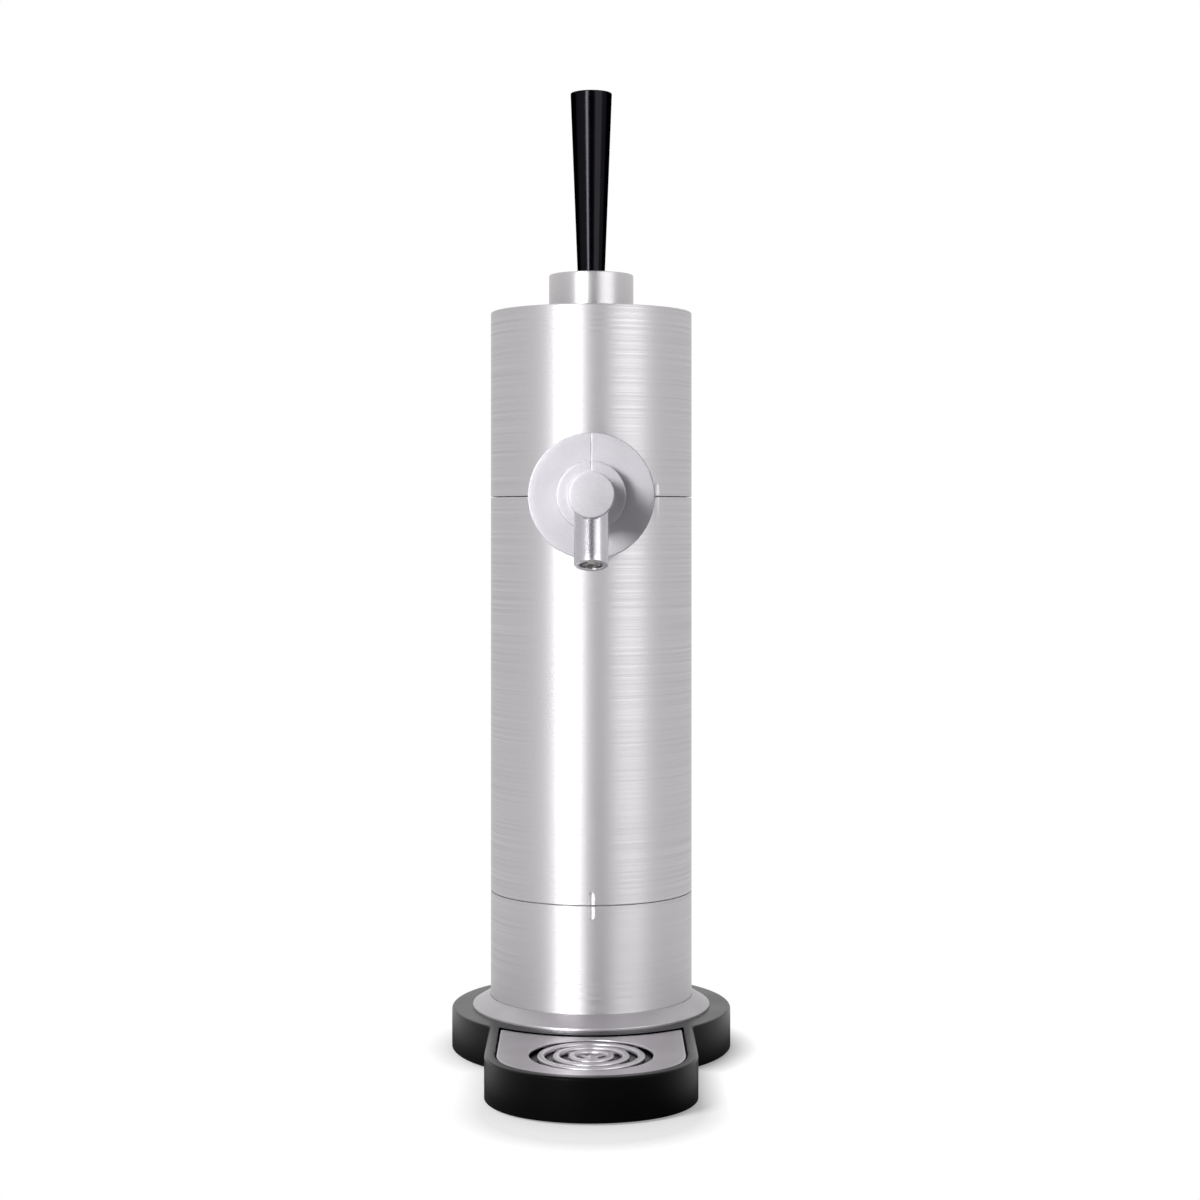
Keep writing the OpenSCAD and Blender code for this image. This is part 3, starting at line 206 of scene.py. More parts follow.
class StageSettings(bpy.types.PropertyGroup):
    """Camera of the photograph and the floor"""
    distance: length("Camera distance", "Camera to the column axis", 971.6 * MM, 0.2, 5.0)
    height: length("Camera height", "Camera above the floor", 234.9 * MM)
    lens: FloatProperty(name="Lens", description="Focal length on a 36 mm sensor, in millimetres",
                        default=64.92, min=20, max=200)
    shift_x: FloatProperty(name="Shift X", description="Sideways lens shift of the photograph", default=0.0073)
    shift_y: FloatProperty(name="Shift Y", description="Upward lens shift of the photograph", default=-0.065)
    # The floor's grey is seen only near the base, where it is painted shade round the base
    floor: tint("Floor", "White sweep", "#D4D4D4")


# Surfaces

def on_column(P):
    """Keeps points (x, y, h) as they are: the axis is the column's."""
    return P


def forward(height):
    """Lays a shape that was turned about Z forward: its axis runs along -Y through (0, height)."""
    def lay(P):
        return np.stack([P[..., 0], -P[..., 2], height + P[..., 1]], -1)
    return lay


def leaning(mouth, lean):
    """Puts a shape turned about Z on the leaning axis that runs up and back from the mouth."""
    c, s = math.cos(lean), math.sin(lean)
    def lay(P):
        x, y, h = P[..., 0], P[..., 1], P[..., 2]
        return np.stack([mouth[0] + x, mouth[1] + y * c + h * s, mouth[2] - y * s + h * c], -1)
    return lay


def rounded(points, radii, steps=6):
    """A polyline with its corners rounded: each corner becomes a circular arc tangent to both sides."""
    points = [np.array(p, float) for p in points]
    out = []
    for i, p in enumerate(points):
        r = radii.get(i, 0)
        if not r:
            out.append(p)
            continue
        a, b = points[i - 1] - p, points[(i + 1) % len(points)] - p
        a, b = a / np.linalg.norm(a), b / np.linalg.norm(b)
        half = math.acos(np.clip(a @ b, -1, 1)) / 2
        centre = p + (a + b) / np.linalg.norm(a + b) * r / math.sin(half)
        start, end = p + a * r / math.tan(half) - centre, p + b * r / math.tan(half) - centre
        turn = math.atan2(start[0] * end[1] - start[1] * end[0], start @ end)
        for k in range(steps + 1):
            t = turn * k / steps
            c, s = math.cos(t), math.sin(t)
            out.append(centre + np.array([start[0] * c - start[1] * s, start[0] * s + start[1] * c]))
    return np.array(out)


def denser(points, step):
    """The same polyline with no side longer than step, so that a relief has rows to move."""
    rows = [points[:1]]
    for a, b in zip(points[:-1], points[1:]):
        n = max(1, int(math.ceil(np.linalg.norm(b - a) / step)))
        rows.append(a + (b - a) * (np.arange(1, n + 1) / n)[:, None])
    return np.concatenate(rows)


def columns_at(count, fine=()):
    """Angles of a full turn, with finer steps in each (centre, half width, step)."""
    a = np.linspace(0, 2 * np.pi, count + 1)
    for centre, half, step in fine:
        a = a[(np.abs((a - centre + np.pi) % (2 * np.pi) - np.pi) > half) | (a == 0) | (a == 2 * np.pi)]
        a = np.concatenate([a, (centre + np.arange(-half, half + step / 2, step)) % (2 * np.pi)])
    return np.unique(np.round(a, 7))


def turned(profile, angles, lay=on_column, relief=None):
    """A profile of (radius, height) carried round an axis: x = r cos a, y = r sin a. The relief gives the radius and
    height that a point has at its angle."""
    r, h = profile[:, None, 0], profile[:, None, 1]
    a = angles[None, :]
    if relief is not None:
        r, h = relief(r, h, a)
    r, h, a = np.broadcast_arrays(r, h, a)
    return lay(np.stack([r * np.cos(a), r * np.sin(a), h], -1))


def pill_depth(across, along, width, length_, depth):
    """Depth of a round-ended slot with a hollow floor: depth times 1 - t squared, where t is the distance from its
    spine over its half width."""
    straight = np.maximum(np.abs(along) - (length_ - width) / 2, 0)
    return depth * np.clip(1 - (np.hypot(across, straight) / (width / 2)) ** 2, 0, 1)


class Build:
    """Collects grids and flat faces of one piece, then writes them to a mesh."""

    def __init__(self):
        self.points, self.faces, self.uvs, self.count = [], [], [], 0

    def grid(self, P, flip=False):
        """A surface on a grid of points P[row, column]. U runs along the columns and V along the rows, in metres."""
        rows, cols = P.shape[:2]
        i = np.arange(rows * cols).reshape(rows, cols) + self.count
        q = np.stack([i[:-1, :-1], i[:-1, 1:], i[1:, 1:], i[1:, :-1]], -1).reshape(-1, 4)
        v = np.concatenate([[0], np.cumsum(np.linalg.norm(np.diff(P.mean(1), axis=0), axis=-1) + 1e-9)])
        uv = np.stack(np.broadcast_arrays(np.linspace(0, 1, cols)[None, :], v[:, None]), -1).reshape(-1, 2)
        self.points.append(P.reshape(-1, 3))
        self.faces += (q[:, ::-1] if flip else q).tolist()
        self.uvs.append(uv)
        self.count += rows * cols
        return self

    def flat(self, loops):
        """A flat face between closed loops of points: the first is its outline, the rest are holes."""
        tris = tessellate_polygon([[tuple(p) for p in loop] for loop in loops])
        P = np.concatenate(loops)
        self.points.append(P)
        self.faces += [[self.count + k for k in t] for t in tris]
        self.uvs.append(P[:, :2].copy())
        self.count += len(P)
        return self

    def make(self, name, body, material, replaces=(), sharp=32, slot=None):
        """The piece, with doubled points merged, normals outward and smooth shading up to the sharp angle."""
        points, uvs = np.concatenate(self.points), np.concatenate(self.uvs)
        mesh = bpy.data.meshes.new(name)
        mesh.from_pydata(points.tolist(), [], self.faces)
        layer = mesh.uv_layers.new(name="Around")
        corner = np.empty(len(mesh.loops), np.int32)
        mesh.loops.foreach_get("vertex_index", corner)
        layer.data.foreach_set("uv", uvs[corner].astype(np.float32).ravel())
        bm = bmesh.new()
        bm.from_mesh(mesh)
        bmesh.ops.remove_doubles(bm, verts=bm.verts, dist=TOUCH)
        bmesh.ops.dissolve_degenerate(bm, edges=bm.edges, dist=TOUCH / 10)
        bmesh.ops.recalc_face_normals(bm, faces=bm.faces)
        bm.to_mesh(mesh)
        bm.free()
        mesh.polygons.foreach_set("use_smooth", [True] * len(mesh.polygons))
        mesh.set_sharp_from_angle(angle=math.radians(sharp))
        mesh.materials.append(material)
        piece = bpy.data.objects.new(name, mesh)
        bpy.context.scene.collection.objects.link(piece)
        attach(piece, body)
        if replaces:
            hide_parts(*replaces)
        return piece


def arc(centre, radius, a0, a1, steps):
    """Points of a circular arc in the floor plane."""
    a = np.linspace(a0, a1, steps + 1)
    return np.stack([centre[0] + radius * np.cos(a), centre[1] + radius * np.sin(a)], -1)


def tongue_front(s, inset):
    """The tongue's outline from its left side round the front to its right: arcs that stay tangent at any inset."""
    cx = s.half_width - s.corner_radius
    fy = s.front_radius - s.reach
    cy = fy - math.sqrt((s.front_radius - s.corner_radius) ** 2 - cx**2)
    turn = math.asin(cx / (s.front_radius - s.corner_radius))
    half = math.pi / 2
    return np.concatenate([
        arc((-cx, cy), s.corner_radius - inset, math.pi, 3 * half - turn, 24),
        arc((0, fy), s.front_radius - inset, 3 * half - turn, 3 * half + turn, 24)[1:],
        arc((cx, cy), s.corner_radius - inset, 3 * half + turn, 4 * half, 24)[1:],
    ])


def base_outline(s, inset):
    """Foot disc and tongue as one outline, drawn in by the inset. The disc's arc stops where the tongue's sides
    leave it."""
    r, w = s.disc_radius - inset, s.half_width - inset
    start = math.asin(-math.sqrt(r * r - w * w) / r)
    return np.concatenate([arc((0, 0), r, start, math.pi - start, 128), tongue_front(s, inset)])


def tray_outline(s, inset, back, corner):
    """The tongue's outline with a hollow back edge round the column. A curve with weights (1 - t) squared,
    2t (1 - t) and t squared rounds its two back corners."""
    w = s.half_width - inset
    side, trim = math.acos(w / back), corner / back
    edge = arc((0, 0), back, -side - trim, -math.pi + side + trim, 32)
    right, left = np.array([w, -math.sqrt(back**2 - w**2)]), np.array([-w, -math.sqrt(back**2 - w**2)])
    down = np.array([0, -corner])
    t = np.linspace(0, 1, 7)[1:-1, None]

    def ease(a, c, b):
        """Points of a corner's curve from a to b, drawn towards c."""
        return (1 - t) ** 2 * a + 2 * t * (1 - t) * c + t**2 * b

    first, last = ease(right + down, right, edge[0]), ease(edge[-1], left, left + down)
    return np.concatenate([tongue_front(s, inset), [right + down], first, edge, last, [left + down]])


def at_height(outline, z):
    """An outline in the floor plane, lifted to z."""
    return np.concatenate([outline, np.full((len(outline), 1), z)], 1)


def closed(P):
    """A grid whose first column is repeated at its end, so that it closes."""
    return np.concatenate([P, P[:, :1]], 1)


def looped(profile):
    """A profile whose first point is repeated at its end, so that it closes."""
    return np.concatenate([profile, profile[:1]])


# Materials

def add(tree, kind, inputs=None, **settings):
    """A node with its settings made and its inputs set to values or linked to sockets."""
    node = tree.nodes.new(kind)
    for key, value in settings.items():
        setattr(node, key, value)
    for key, value in (inputs or {}).items():
        socket = node.inputs[key]
        if isinstance(value, bpy.types.NodeSocket):
            tree.links.new(value, socket)
        else:
            socket.default_value = value
    return node


def material(name):
    """An empty node material, its tree, its shader and its output, linked."""
    mat = bpy.data.materials.new(name)
    mat.use_nodes = True
    tree = mat.node_tree
    tree.nodes.clear()
    shader = add(tree, "ShaderNodeBsdfPrincipled")
    add(tree, "ShaderNodeOutputMaterial", {"Surface": shader.outputs[0]})
    return mat, tree, shader


def here(tree, scale=(1, 1, 1)):
    """Object coordinates times a scale, in features per metre."""
    spot = add(tree, "ShaderNodeTexCoord").outputs["Object"]
    return add(tree, "ShaderNodeMapping", {"Vector": spot, "Scale": scale}).outputs[0]


def set_all(shader, **values):
    """Constant inputs of a shader, by name with spaces for underscores."""
    for key, value in values.items():
        shader.inputs[key.replace("_", " ")].default_value = value


def drive(tree, shader, **sources):
    """Links sources to a shader's inputs, by name with spaces for underscores."""
    for key, source in sources.items():
        tree.links.new(source, shader.inputs[key.replace("_", " ")])


def calc(tree, operation, a, b=0.0):
    """The result of a maths operation on two values."""
    return add(tree, "ShaderNodeMath", {0: a, 1: b}, operation=operation).outputs[0]


def spread(tree, source, low, high, bottom, top):
    """A value mapped from low..high to bottom..top."""
    span = {"Value": source, "From Min": low, "From Max": high, "To Min": bottom, "To Max": top}
    return add(tree, "ShaderNodeMapRange", span).outputs[0]


def noise(tree, spot, scale, detail, roughness=0.5):
    """A noise with so many features per unit of its coordinates."""
    inputs = {"Vector": spot, "Scale": scale, "Detail": detail, "Roughness": roughness}
    return add(tree, "ShaderNodeTexNoise", inputs).outputs[0]


def bump(tree, height, strength, distance):
    """The normal of a surface that rises by distance where the height is 1."""
    return add(tree, "ShaderNodeBump", {"Height": height, "Strength": strength, "Distance": distance}).outputs[0]


def between(tree, factor, a, b):
    """A colour between a and b."""
    mix = add(tree, "ShaderNodeMix", data_type="RGBA")
    for key, value in ((0, factor), (6, a), (7, b)):
        if isinstance(value, bpy.types.NodeSocket):
            tree.links.new(value, mix.inputs[key])
        else:
            mix.inputs[key].default_value = value
    return mix.outputs[2]


def shade(colour, k):
    """A colour times k."""
    return [min(1.0, c * k) for c in list(colour)[:3]] + [1.0]


def around(tree, factor, colour, drift):
    """A colour that drifts by a share of itself, darker where the factor is 0 and lighter where it is 1."""
    return between(tree, factor, shade(colour, 1 - drift), shade(colour, 1 + drift))


def brushed_aluminium(name, colour, stroke, rough):
    """Aluminium turned and brushed round its axis: fine scratches that run round it, so lights smear along it.
    stroke is the number of scratches per metre along X, Y and Z: few where they run, and across them about 860 deep
    ones with finer ones among them. Where the brush bit harder, the light scatters further."""
    mat, tree, shader = material(name)
    grain = noise(tree, here(tree, stroke), 1.0, 2.0, 0.8)
    drive(
        tree, shader,
        Base_Color=around(tree, spread(tree, grain, 0.35, 0.65, 0.0, 1.0), colour, 0.02),
        Roughness=spread(tree, grain, 0.35, 0.65, *rough),
        Normal=bump(tree, grain, 0.012, 0.1 * MM),
        Tangent=add(tree, "ShaderNodeTangent", direction_type="UV_MAP", uv_map="Around").outputs[0],
    )
    set_all(shader, Metallic=1.0, Anisotropic=0.78, Anisotropic_Rotation=0.25)
    return mat


def turned_aluminium(name, colour):
    """Aluminium faced on a lathe: rings 0.5 mm apart round the column's axis."""
    mat, tree, shader = material(name)
    inputs = {"Vector": here(tree), "Scale": 640.0, "Distortion": 0.3, "Detail": 1.0}
    rings = add(tree, "ShaderNodeTexWave", inputs, wave_type="RINGS", rings_direction="Z").outputs[1]
    drive(
        tree, shader,
        Base_Color=around(tree, rings, colour, 0.04),
        Roughness=spread(tree, rings, 0.0, 1.0, 0.3, 0.4),
        Normal=bump(tree, rings, 0.1, 0.1 * MM),
    )
    set_all(shader, Metallic=1.0)
    return mat


def satin_casting(name, colour, grit, rough, metallic):
    """Zinc die casting or sheet under satin plating or silver lacquer: an even soft gleam, with clouds of 17 mm
    and a very fine grit. grit is its number of grains per metre."""
    mat, tree, shader = material(name)
    grain = noise(tree, here(tree), grit, 3.0, 0.6)
    mottle = calc(tree, "ADD", grain, noise(tree, here(tree), 60.0, 2.0))
    drive(
        tree, shader,
        Base_Color=around(tree, spread(tree, mottle, 0.75, 1.25, 0.0, 1.0), colour, 0.07),
        Roughness=spread(tree, grain, 0.3, 0.7, *rough),
        Normal=bump(tree, grain, 0.1, 0.05 * MM),
    )
    set_all(shader, Metallic=metallic)
    return mat


def moulded(name, colour, rough, grit=1500.0, relief=0.15, soft=0.0, facing=1.0, gleam=0.5):
    """Injection moulded plastic or rubber: the mould's spark texture gives a fine grain, and the tone drifts slightly.
    facing dims the reflection of what lies straight in front, gleam weakens every reflection, and soft adds the haze
    of rubber."""
    mat, tree, shader = material(name)
    grain = noise(tree, here(tree), grit, 2.0)
    cloud = noise(tree, here(tree), 35.0, 3.0)
    drive(
        tree, shader,
        Base_Color=around(tree, cloud, colour, 0.12),
        Roughness=spread(tree, cloud, 0.3, 0.7, rough * 0.88, rough * 1.12),
        Normal=bump(tree, grain, relief, 0.05 * MM),
    )
    front = (facing, facing, facing, 1.0)
    set_all(shader, IOR=1.5, Specular_Tint=front, Sheen_Weight=soft, Specular_IOR_Level=gleam)
    return mat


def black_nickel(name, colour):
    """Polished black nickel plate: a dark mirror with a very faint orange peel of 3 mm. Its dark edge tint keeps
    the sides black, as they are in the photograph."""
    mat, tree, shader = material(name)
    peel = noise(tree, here(tree), 330.0, 1.0)
    drive(
        tree, shader,
        Base_Color=around(tree, peel, colour, 0.1),
        Roughness=spread(tree, peel, 0.3, 0.7, 0.1, 0.16),
    )
    set_all(shader, Metallic=1.0, Specular_Tint=(0.0, 0.0, 0.0, 1.0))
    return mat


def plated_metal(name, colour):
    """Plated metal: a grey or yellow one with a faint crystalline mottle of about 3 mm."""
    mat, tree, shader = material(name)
    mottle = add(tree, "ShaderNodeTexVoronoi", {"Vector": here(tree), "Scale": 330.0}).outputs["Distance"]
    drive(
        tree, shader,
        Base_Color=between(tree, mottle, shade(colour, 0.85), shade(colour, 1.1)),
        Roughness=spread(tree, mottle, 0.0, 0.8, 0.28, 0.42),
    )
    set_all(shader, Metallic=1.0)
    return mat


def circuit(name, colour):
    """Fibreglass board under green solder mask: copper tracks about 3 mm apart show through as paler lines."""
    mat, tree, shader = material(name)
    inputs = {"Vector": here(tree, (0, 320, 320)), "Scale": 1.0}
    cells = add(tree, "ShaderNodeTexVoronoi", inputs, distance="MANHATTAN", feature="DISTANCE_TO_EDGE")
    track = calc(tree, "LESS_THAN", cells.outputs["Distance"], 0.07)
    drive(
        tree, shader,
        Base_Color=between(tree, track, shade(colour, 1.0), shade(colour, 1.9)),
        Normal=bump(tree, track, 0.2, 0.03 * MM),
    )
    set_all(shader, Roughness=0.3, IOR=1.5)
    return mat


def silicone(name, colour, clear):
    """Milky silicone or gel: light passes through it, with soft cloudy variation."""
    mat, tree, shader = material(name)
    cloud = noise(tree, here(tree), 120.0, 2.0)
    drive(
        tree, shader,
        Base_Color=around(tree, cloud, colour, 0.1),
        Roughness=spread(tree, cloud, 0.3, 0.7, 0.25, 0.4),
    )
    set_all(shader, Transmission_Weight=clear, IOR=1.41)
    return mat


FINISHES = {}


def finishes():
    """Every finish of the dispenser, made once."""
    if FINISHES:
        return FINISHES
    scene = bpy.context.scene
    column, base = scene.dispenser_column, scene.dispenser_base
    tap, lever = scene.dispenser_tap, scene.dispenser_lever
    # The grille's lacquer is the trim's silver paint made 18 % lighter: a painted highlight for the strong light from
    # above on the grille
    sheet, tube = shade(base.paint, 1.18), shade(tap.metal, 0.87)
    FINISHES.update(
        skin=brushed_aluminium("Brushed aluminium skin", column.metal, (2.5, 2.5, 860), (0.48, 0.63)),
        collar=brushed_aluminium("Turned aluminium collar", column.metal, (2.5, 2.5, 900), (0.43, 0.54)),
        lid=turned_aluminium("Turned aluminium top", column.metal),
        cast=satin_casting("Silver lacquered casting", tap.metal, 1300.0, (0.34, 0.44), 0.08),
        tube=satin_casting("Polished spout tube", tube, 2600.0, (0.25, 0.3), 1.0),
        paint=satin_casting("Silver lacquer", base.paint, 3200.0, (0.34, 0.46), 0.85),
        sheet=satin_casting("Silver lacquer painted lighter", sheet, 3200.0, (0.3, 0.42), 0.85),
        black=moulded("Black ABS", base.plastic, 0.3, facing=0.03),
        well=moulded("Black ABS tray", base.plastic, 0.7, 900.0, 0.4, gleam=0.1),
        gloss=black_nickel("Polished black nickel handle", lever.gloss),
        rubber=moulded("Black rubber", srgb("#202021"), 0.75, 2200.0, 0.4, 0.2),
        seal=moulded("Grey seal rubber", srgb("#4A4A4D"), 0.6, 2000.0, 0.2, 0.1),
        steel=plated_metal("Zinc plated steel", srgb("#A6A6A8")),
        white=moulded("White ABS", srgb("#E2E0DA"), 0.45),
        pump=moulded("Slate nylon", srgb("#36454F"), 0.5),
        hose=silicone("Milky silicone hose", srgb("#CBD0CF"), 0.5),
        gel=silicone("Cold pack gel", srgb("#9CC4D6"), 0.3),
        board=circuit("Green circuit board", srgb("#1E6A3A")),
        brass=plated_metal("Brass contact", srgb("#C8A24A")),
    )
    return FINISHES


# Pieces

class DISPENSER_OT_column(bpy.types.Operator):
    """Makes the three brushed skins, the collar and the painted trim ring"""
    bl_idname = "dispenser.column"
    bl_label = "Column"

    def skin(self, node, body, marks, top_bevel):
        """A tube with eased seam edges. Its outer radius is less the depth of each mark, a pill that crosses the seam.
        A mark is given by its height and its bearing from the front."""
        s, f = bpy.context.scene.dispenser_column, finishes()
        R, r, z0, z1 = s.radius, s.radius - s.wall, foot_of(node), top_of(node)
        profile = rounded([(r, z0), (R, z0), (R, z1), (r, z1)], {1: s.seam_round, 2: top_bevel}, 4)
        outer = profile[:, 0] > R - TOUCH
        first, last = np.flatnonzero(outer)[[0, -1]]
        rows = denser(profile[first : last + 1], 6 * MM)
        for z, _ in marks:
            near = np.arange(z - s.mark_length / 2 - MM, z + s.mark_length / 2 + MM, MARK_STEP)
            near = near[(near > rows[0, 1]) & (near < rows[-1, 1])]
            rows = np.concatenate([rows, np.stack([np.full(len(near), R), near], -1)])
        rows = rows[np.argsort(rows[:, 1], kind="stable")]
        profile = np.concatenate([profile[:first], rows, profile[last + 1 :], profile[:1]])
        facing = [(-math.pi / 2 + bearing) % (2 * math.pi) for _, bearing in marks]
        angles = columns_at(180, [(a, 2.2 * MM / R, 0.15 * MM / R) for a in facing])

        def relief(radius, height, angle):
            """Less radius in each mark, on the outside only."""
            depth = 0
            for (z, _), a in zip(marks, facing):
                across = ((angle - a + np.pi) % (2 * np.pi) - np.pi) * R
                depth = depth + pill_depth(across, height - z, s.mark_width, s.mark_length, s.mark_depth)
            return np.where(radius > R - TOUCH, radius - depth, np.minimum(radius, R)), height + 0 * angle

        piece = Build().grid(turned(profile, angles, relief=relief))
        piece.make(node + "_skin", body, f["skin"], (node,), slot="brushed_aluminium")

    def execute(self, context):
        column, base, f = context.scene.dispenser_column, context.scene.dispenser_base, finishes()
        lower = ((foot_of("sleeve_tube") + top_of("foot_tube")) / 2, 0.0)
        upper = ((foot_of("head_shell") + top_of("sleeve_tube")) / 2, column.upper_mark)
        self.skin("foot_tube", "base", [lower], column.seam_round)
        self.skin("sleeve_tube", "can_sleeve", [lower, upper], column.seam_round)
        self.skin("head_shell", "head", [upper], column.bevel)

        R, z0, z1 = column.collar_radius, foot_of("collar"), top_of("collar")
        inner = R - column.wall
        ring = rounded([(inner, z0), (R, z0), (R, z1), (inner, z1)], {2: column.bevel, 3: 0.3 * MM}, 5)
        collar = Build().grid(turned(denser(looped(ring), 4 * MM), columns_at(160)))
        collar.make("collar_ring", "head", f["collar"], ("collar",), slot="brushed_aluminium")

        R, z0, z1 = column.radius, foot_of("trim_ring"), top_of("trim_ring")
        inner, outer = R + 0.05 * MM, base.disc_radius - base.trim_inset
        step = [(R + 1.3 * MM, z1 - 0.4 * MM), (R + 0.7 * MM, z1)]
        ring = [(inner, z0), (outer, z0), (outer, z0 + base.trim_edge), *step, (inner, z1)]
        ring = rounded(ring, {2: 0.45 * MM, 3: 0.6 * MM, 4: 0.2 * MM}, 5)
        trim = Build().grid(turned(looped(ring), columns_at(200)))
        trim.make("trim_cone", "base", f["paint"], ("trim_ring",), slot="silver_paint")
        return {"FINISHED"}


class DISPENSER_OT_base(bpy.types.Operator):
    """Makes the black base moulding with its tray well and rounded top edge"""
    bl_idname = "dispenser.base"
    bl_label = "Base"

    def execute(self, context):
        s, f = context.scene.dispenser_base, finishes()
        z0, z1 = foot_of("base_housing"), top_of("base_housing")
        chamfer, eased = 0.35 * MM, 0.35 * MM
        side = rounded([(0.0, z0), (0.0, z1), (2 * s.edge, z1)], {1: s.edge}, 7)
        under = [(s.wall, z1 - s.wall), (s.wall, z0), (chamfer, z0), (0.0, z0 + chamfer)]
        rows = np.concatenate([under, side[1:]])
        build = Build()
        build.grid(closed(np.stack([at_height(base_outline(s, d), z) for d, z in rows])))
        well_back = s.grille_back - MM
        floor_z = foot_of("drip_tray") - 0.1 * MM
        rim = rounded([(s.rim - 0.8 * MM, z1), (s.rim, z1), (s.rim, floor_z)], {1: eased}, 4)
        well = [at_height(tray_outline(s, d, well_back + (s.rim - d), 1.2 * MM), z) for d, z in rim]
        build.grid(closed(np.stack(well)))
        build.flat([well[-1]])
        build.flat([at_height(base_outline(s, rows[-1][0]), z1), well[0]])
        build.flat([at_height(base_outline(s, s.wall), z1 - s.wall)])
        build.make("base_moulding", "base", f["black"], ("base_housing",), slot="black_plastic")
        return {"FINISHED"}


class DISPENSER_OT_grille(bpy.types.Operator):
    """Makes the silver grille sheet with its round-topped rings and the bars under them"""
    bl_idname = "dispenser.grille"
    bl_label = "Grille"

    def execute(self, context):
        s, f = context.scene.dispenser_base, finishes()
        z1 = top_of("drip_grille")
        z0, low = z1 - s.sheet, z1 - s.grille_depth
        build = Build()
        edge = rounded([(MM, z0), (0, z0), (0, z1), (MM, z1)], {1: 0.2 * MM, 2: 0.45 * MM}, 5)
        sheet = [at_height(tray_outline(s, s.grille_inset + d, s.grille_back + d, 1.6 * MM), z) for d, z in edge]
        build.grid(closed(np.stack(sheet)))
        R = s.hole_radius
        hole = rounded([(R + MM, z1), (R, z1), (R, z1 - 0.8 * MM), (R + 1.5 * MM, z0)], {1: 0.4 * MM}, 5)
        centre = np.array([0, -s.ring_centre, 0])
        bore = turned(hole, columns_at(120)) + centre
        build.grid(bore)
        build.flat([sheet[-1], bore[0, :-1]])
        build.flat([sheet[0], bore[-1, :-1]])
        w, z = s.ring_width, z1 - s.ring_height
        for i in (1, 2, 3):
            inner = R - i * s.ring_pitch
            ring = [(inner, z), (inner + w, z), (inner + w, z1), (inner, z1)]
            build.grid(turned(looped(rounded(ring, {2: 0.3 * w, 3: 0.3 * w}, 6)), columns_at(120)) + centre)
        dome = 1.2 * MM
        boss = rounded([(0, low), (s.boss_radius, low), (s.boss_radius, z1 - dome), (0, z1)], {2: dome}, 6)
        build.grid(turned(boss, columns_at(48)) + centre)
        half, top = s.bar_width / 2, z1 - 1.4 * MM
        bar = np.array([(-half, low), (half, low), (half, top), (-half, top)])
        for turn in (math.pi / 4, -math.pi / 4):
            along = np.array([math.cos(turn), math.sin(turn), 0]) * (R + 1.3 * MM)
            across = np.array([-math.sin(turn), math.cos(turn), 0])
            section = centre + bar[:, :1] * across + bar[:, 1:] * np.array([0, 0, 1])
            ends = [section - along, section + along]
            build.grid(closed(np.stack(ends)))
            build.flat([ends[0]])
            build.flat([ends[1]])
        # Its lacquer is painted lighter than the trim's: a painted highlight for the light from above
        build.make("grille_sheet", "drip_grille", f["sheet"], ("drip_grille",), slot="silver_paint")
        return {"FINISHED"}


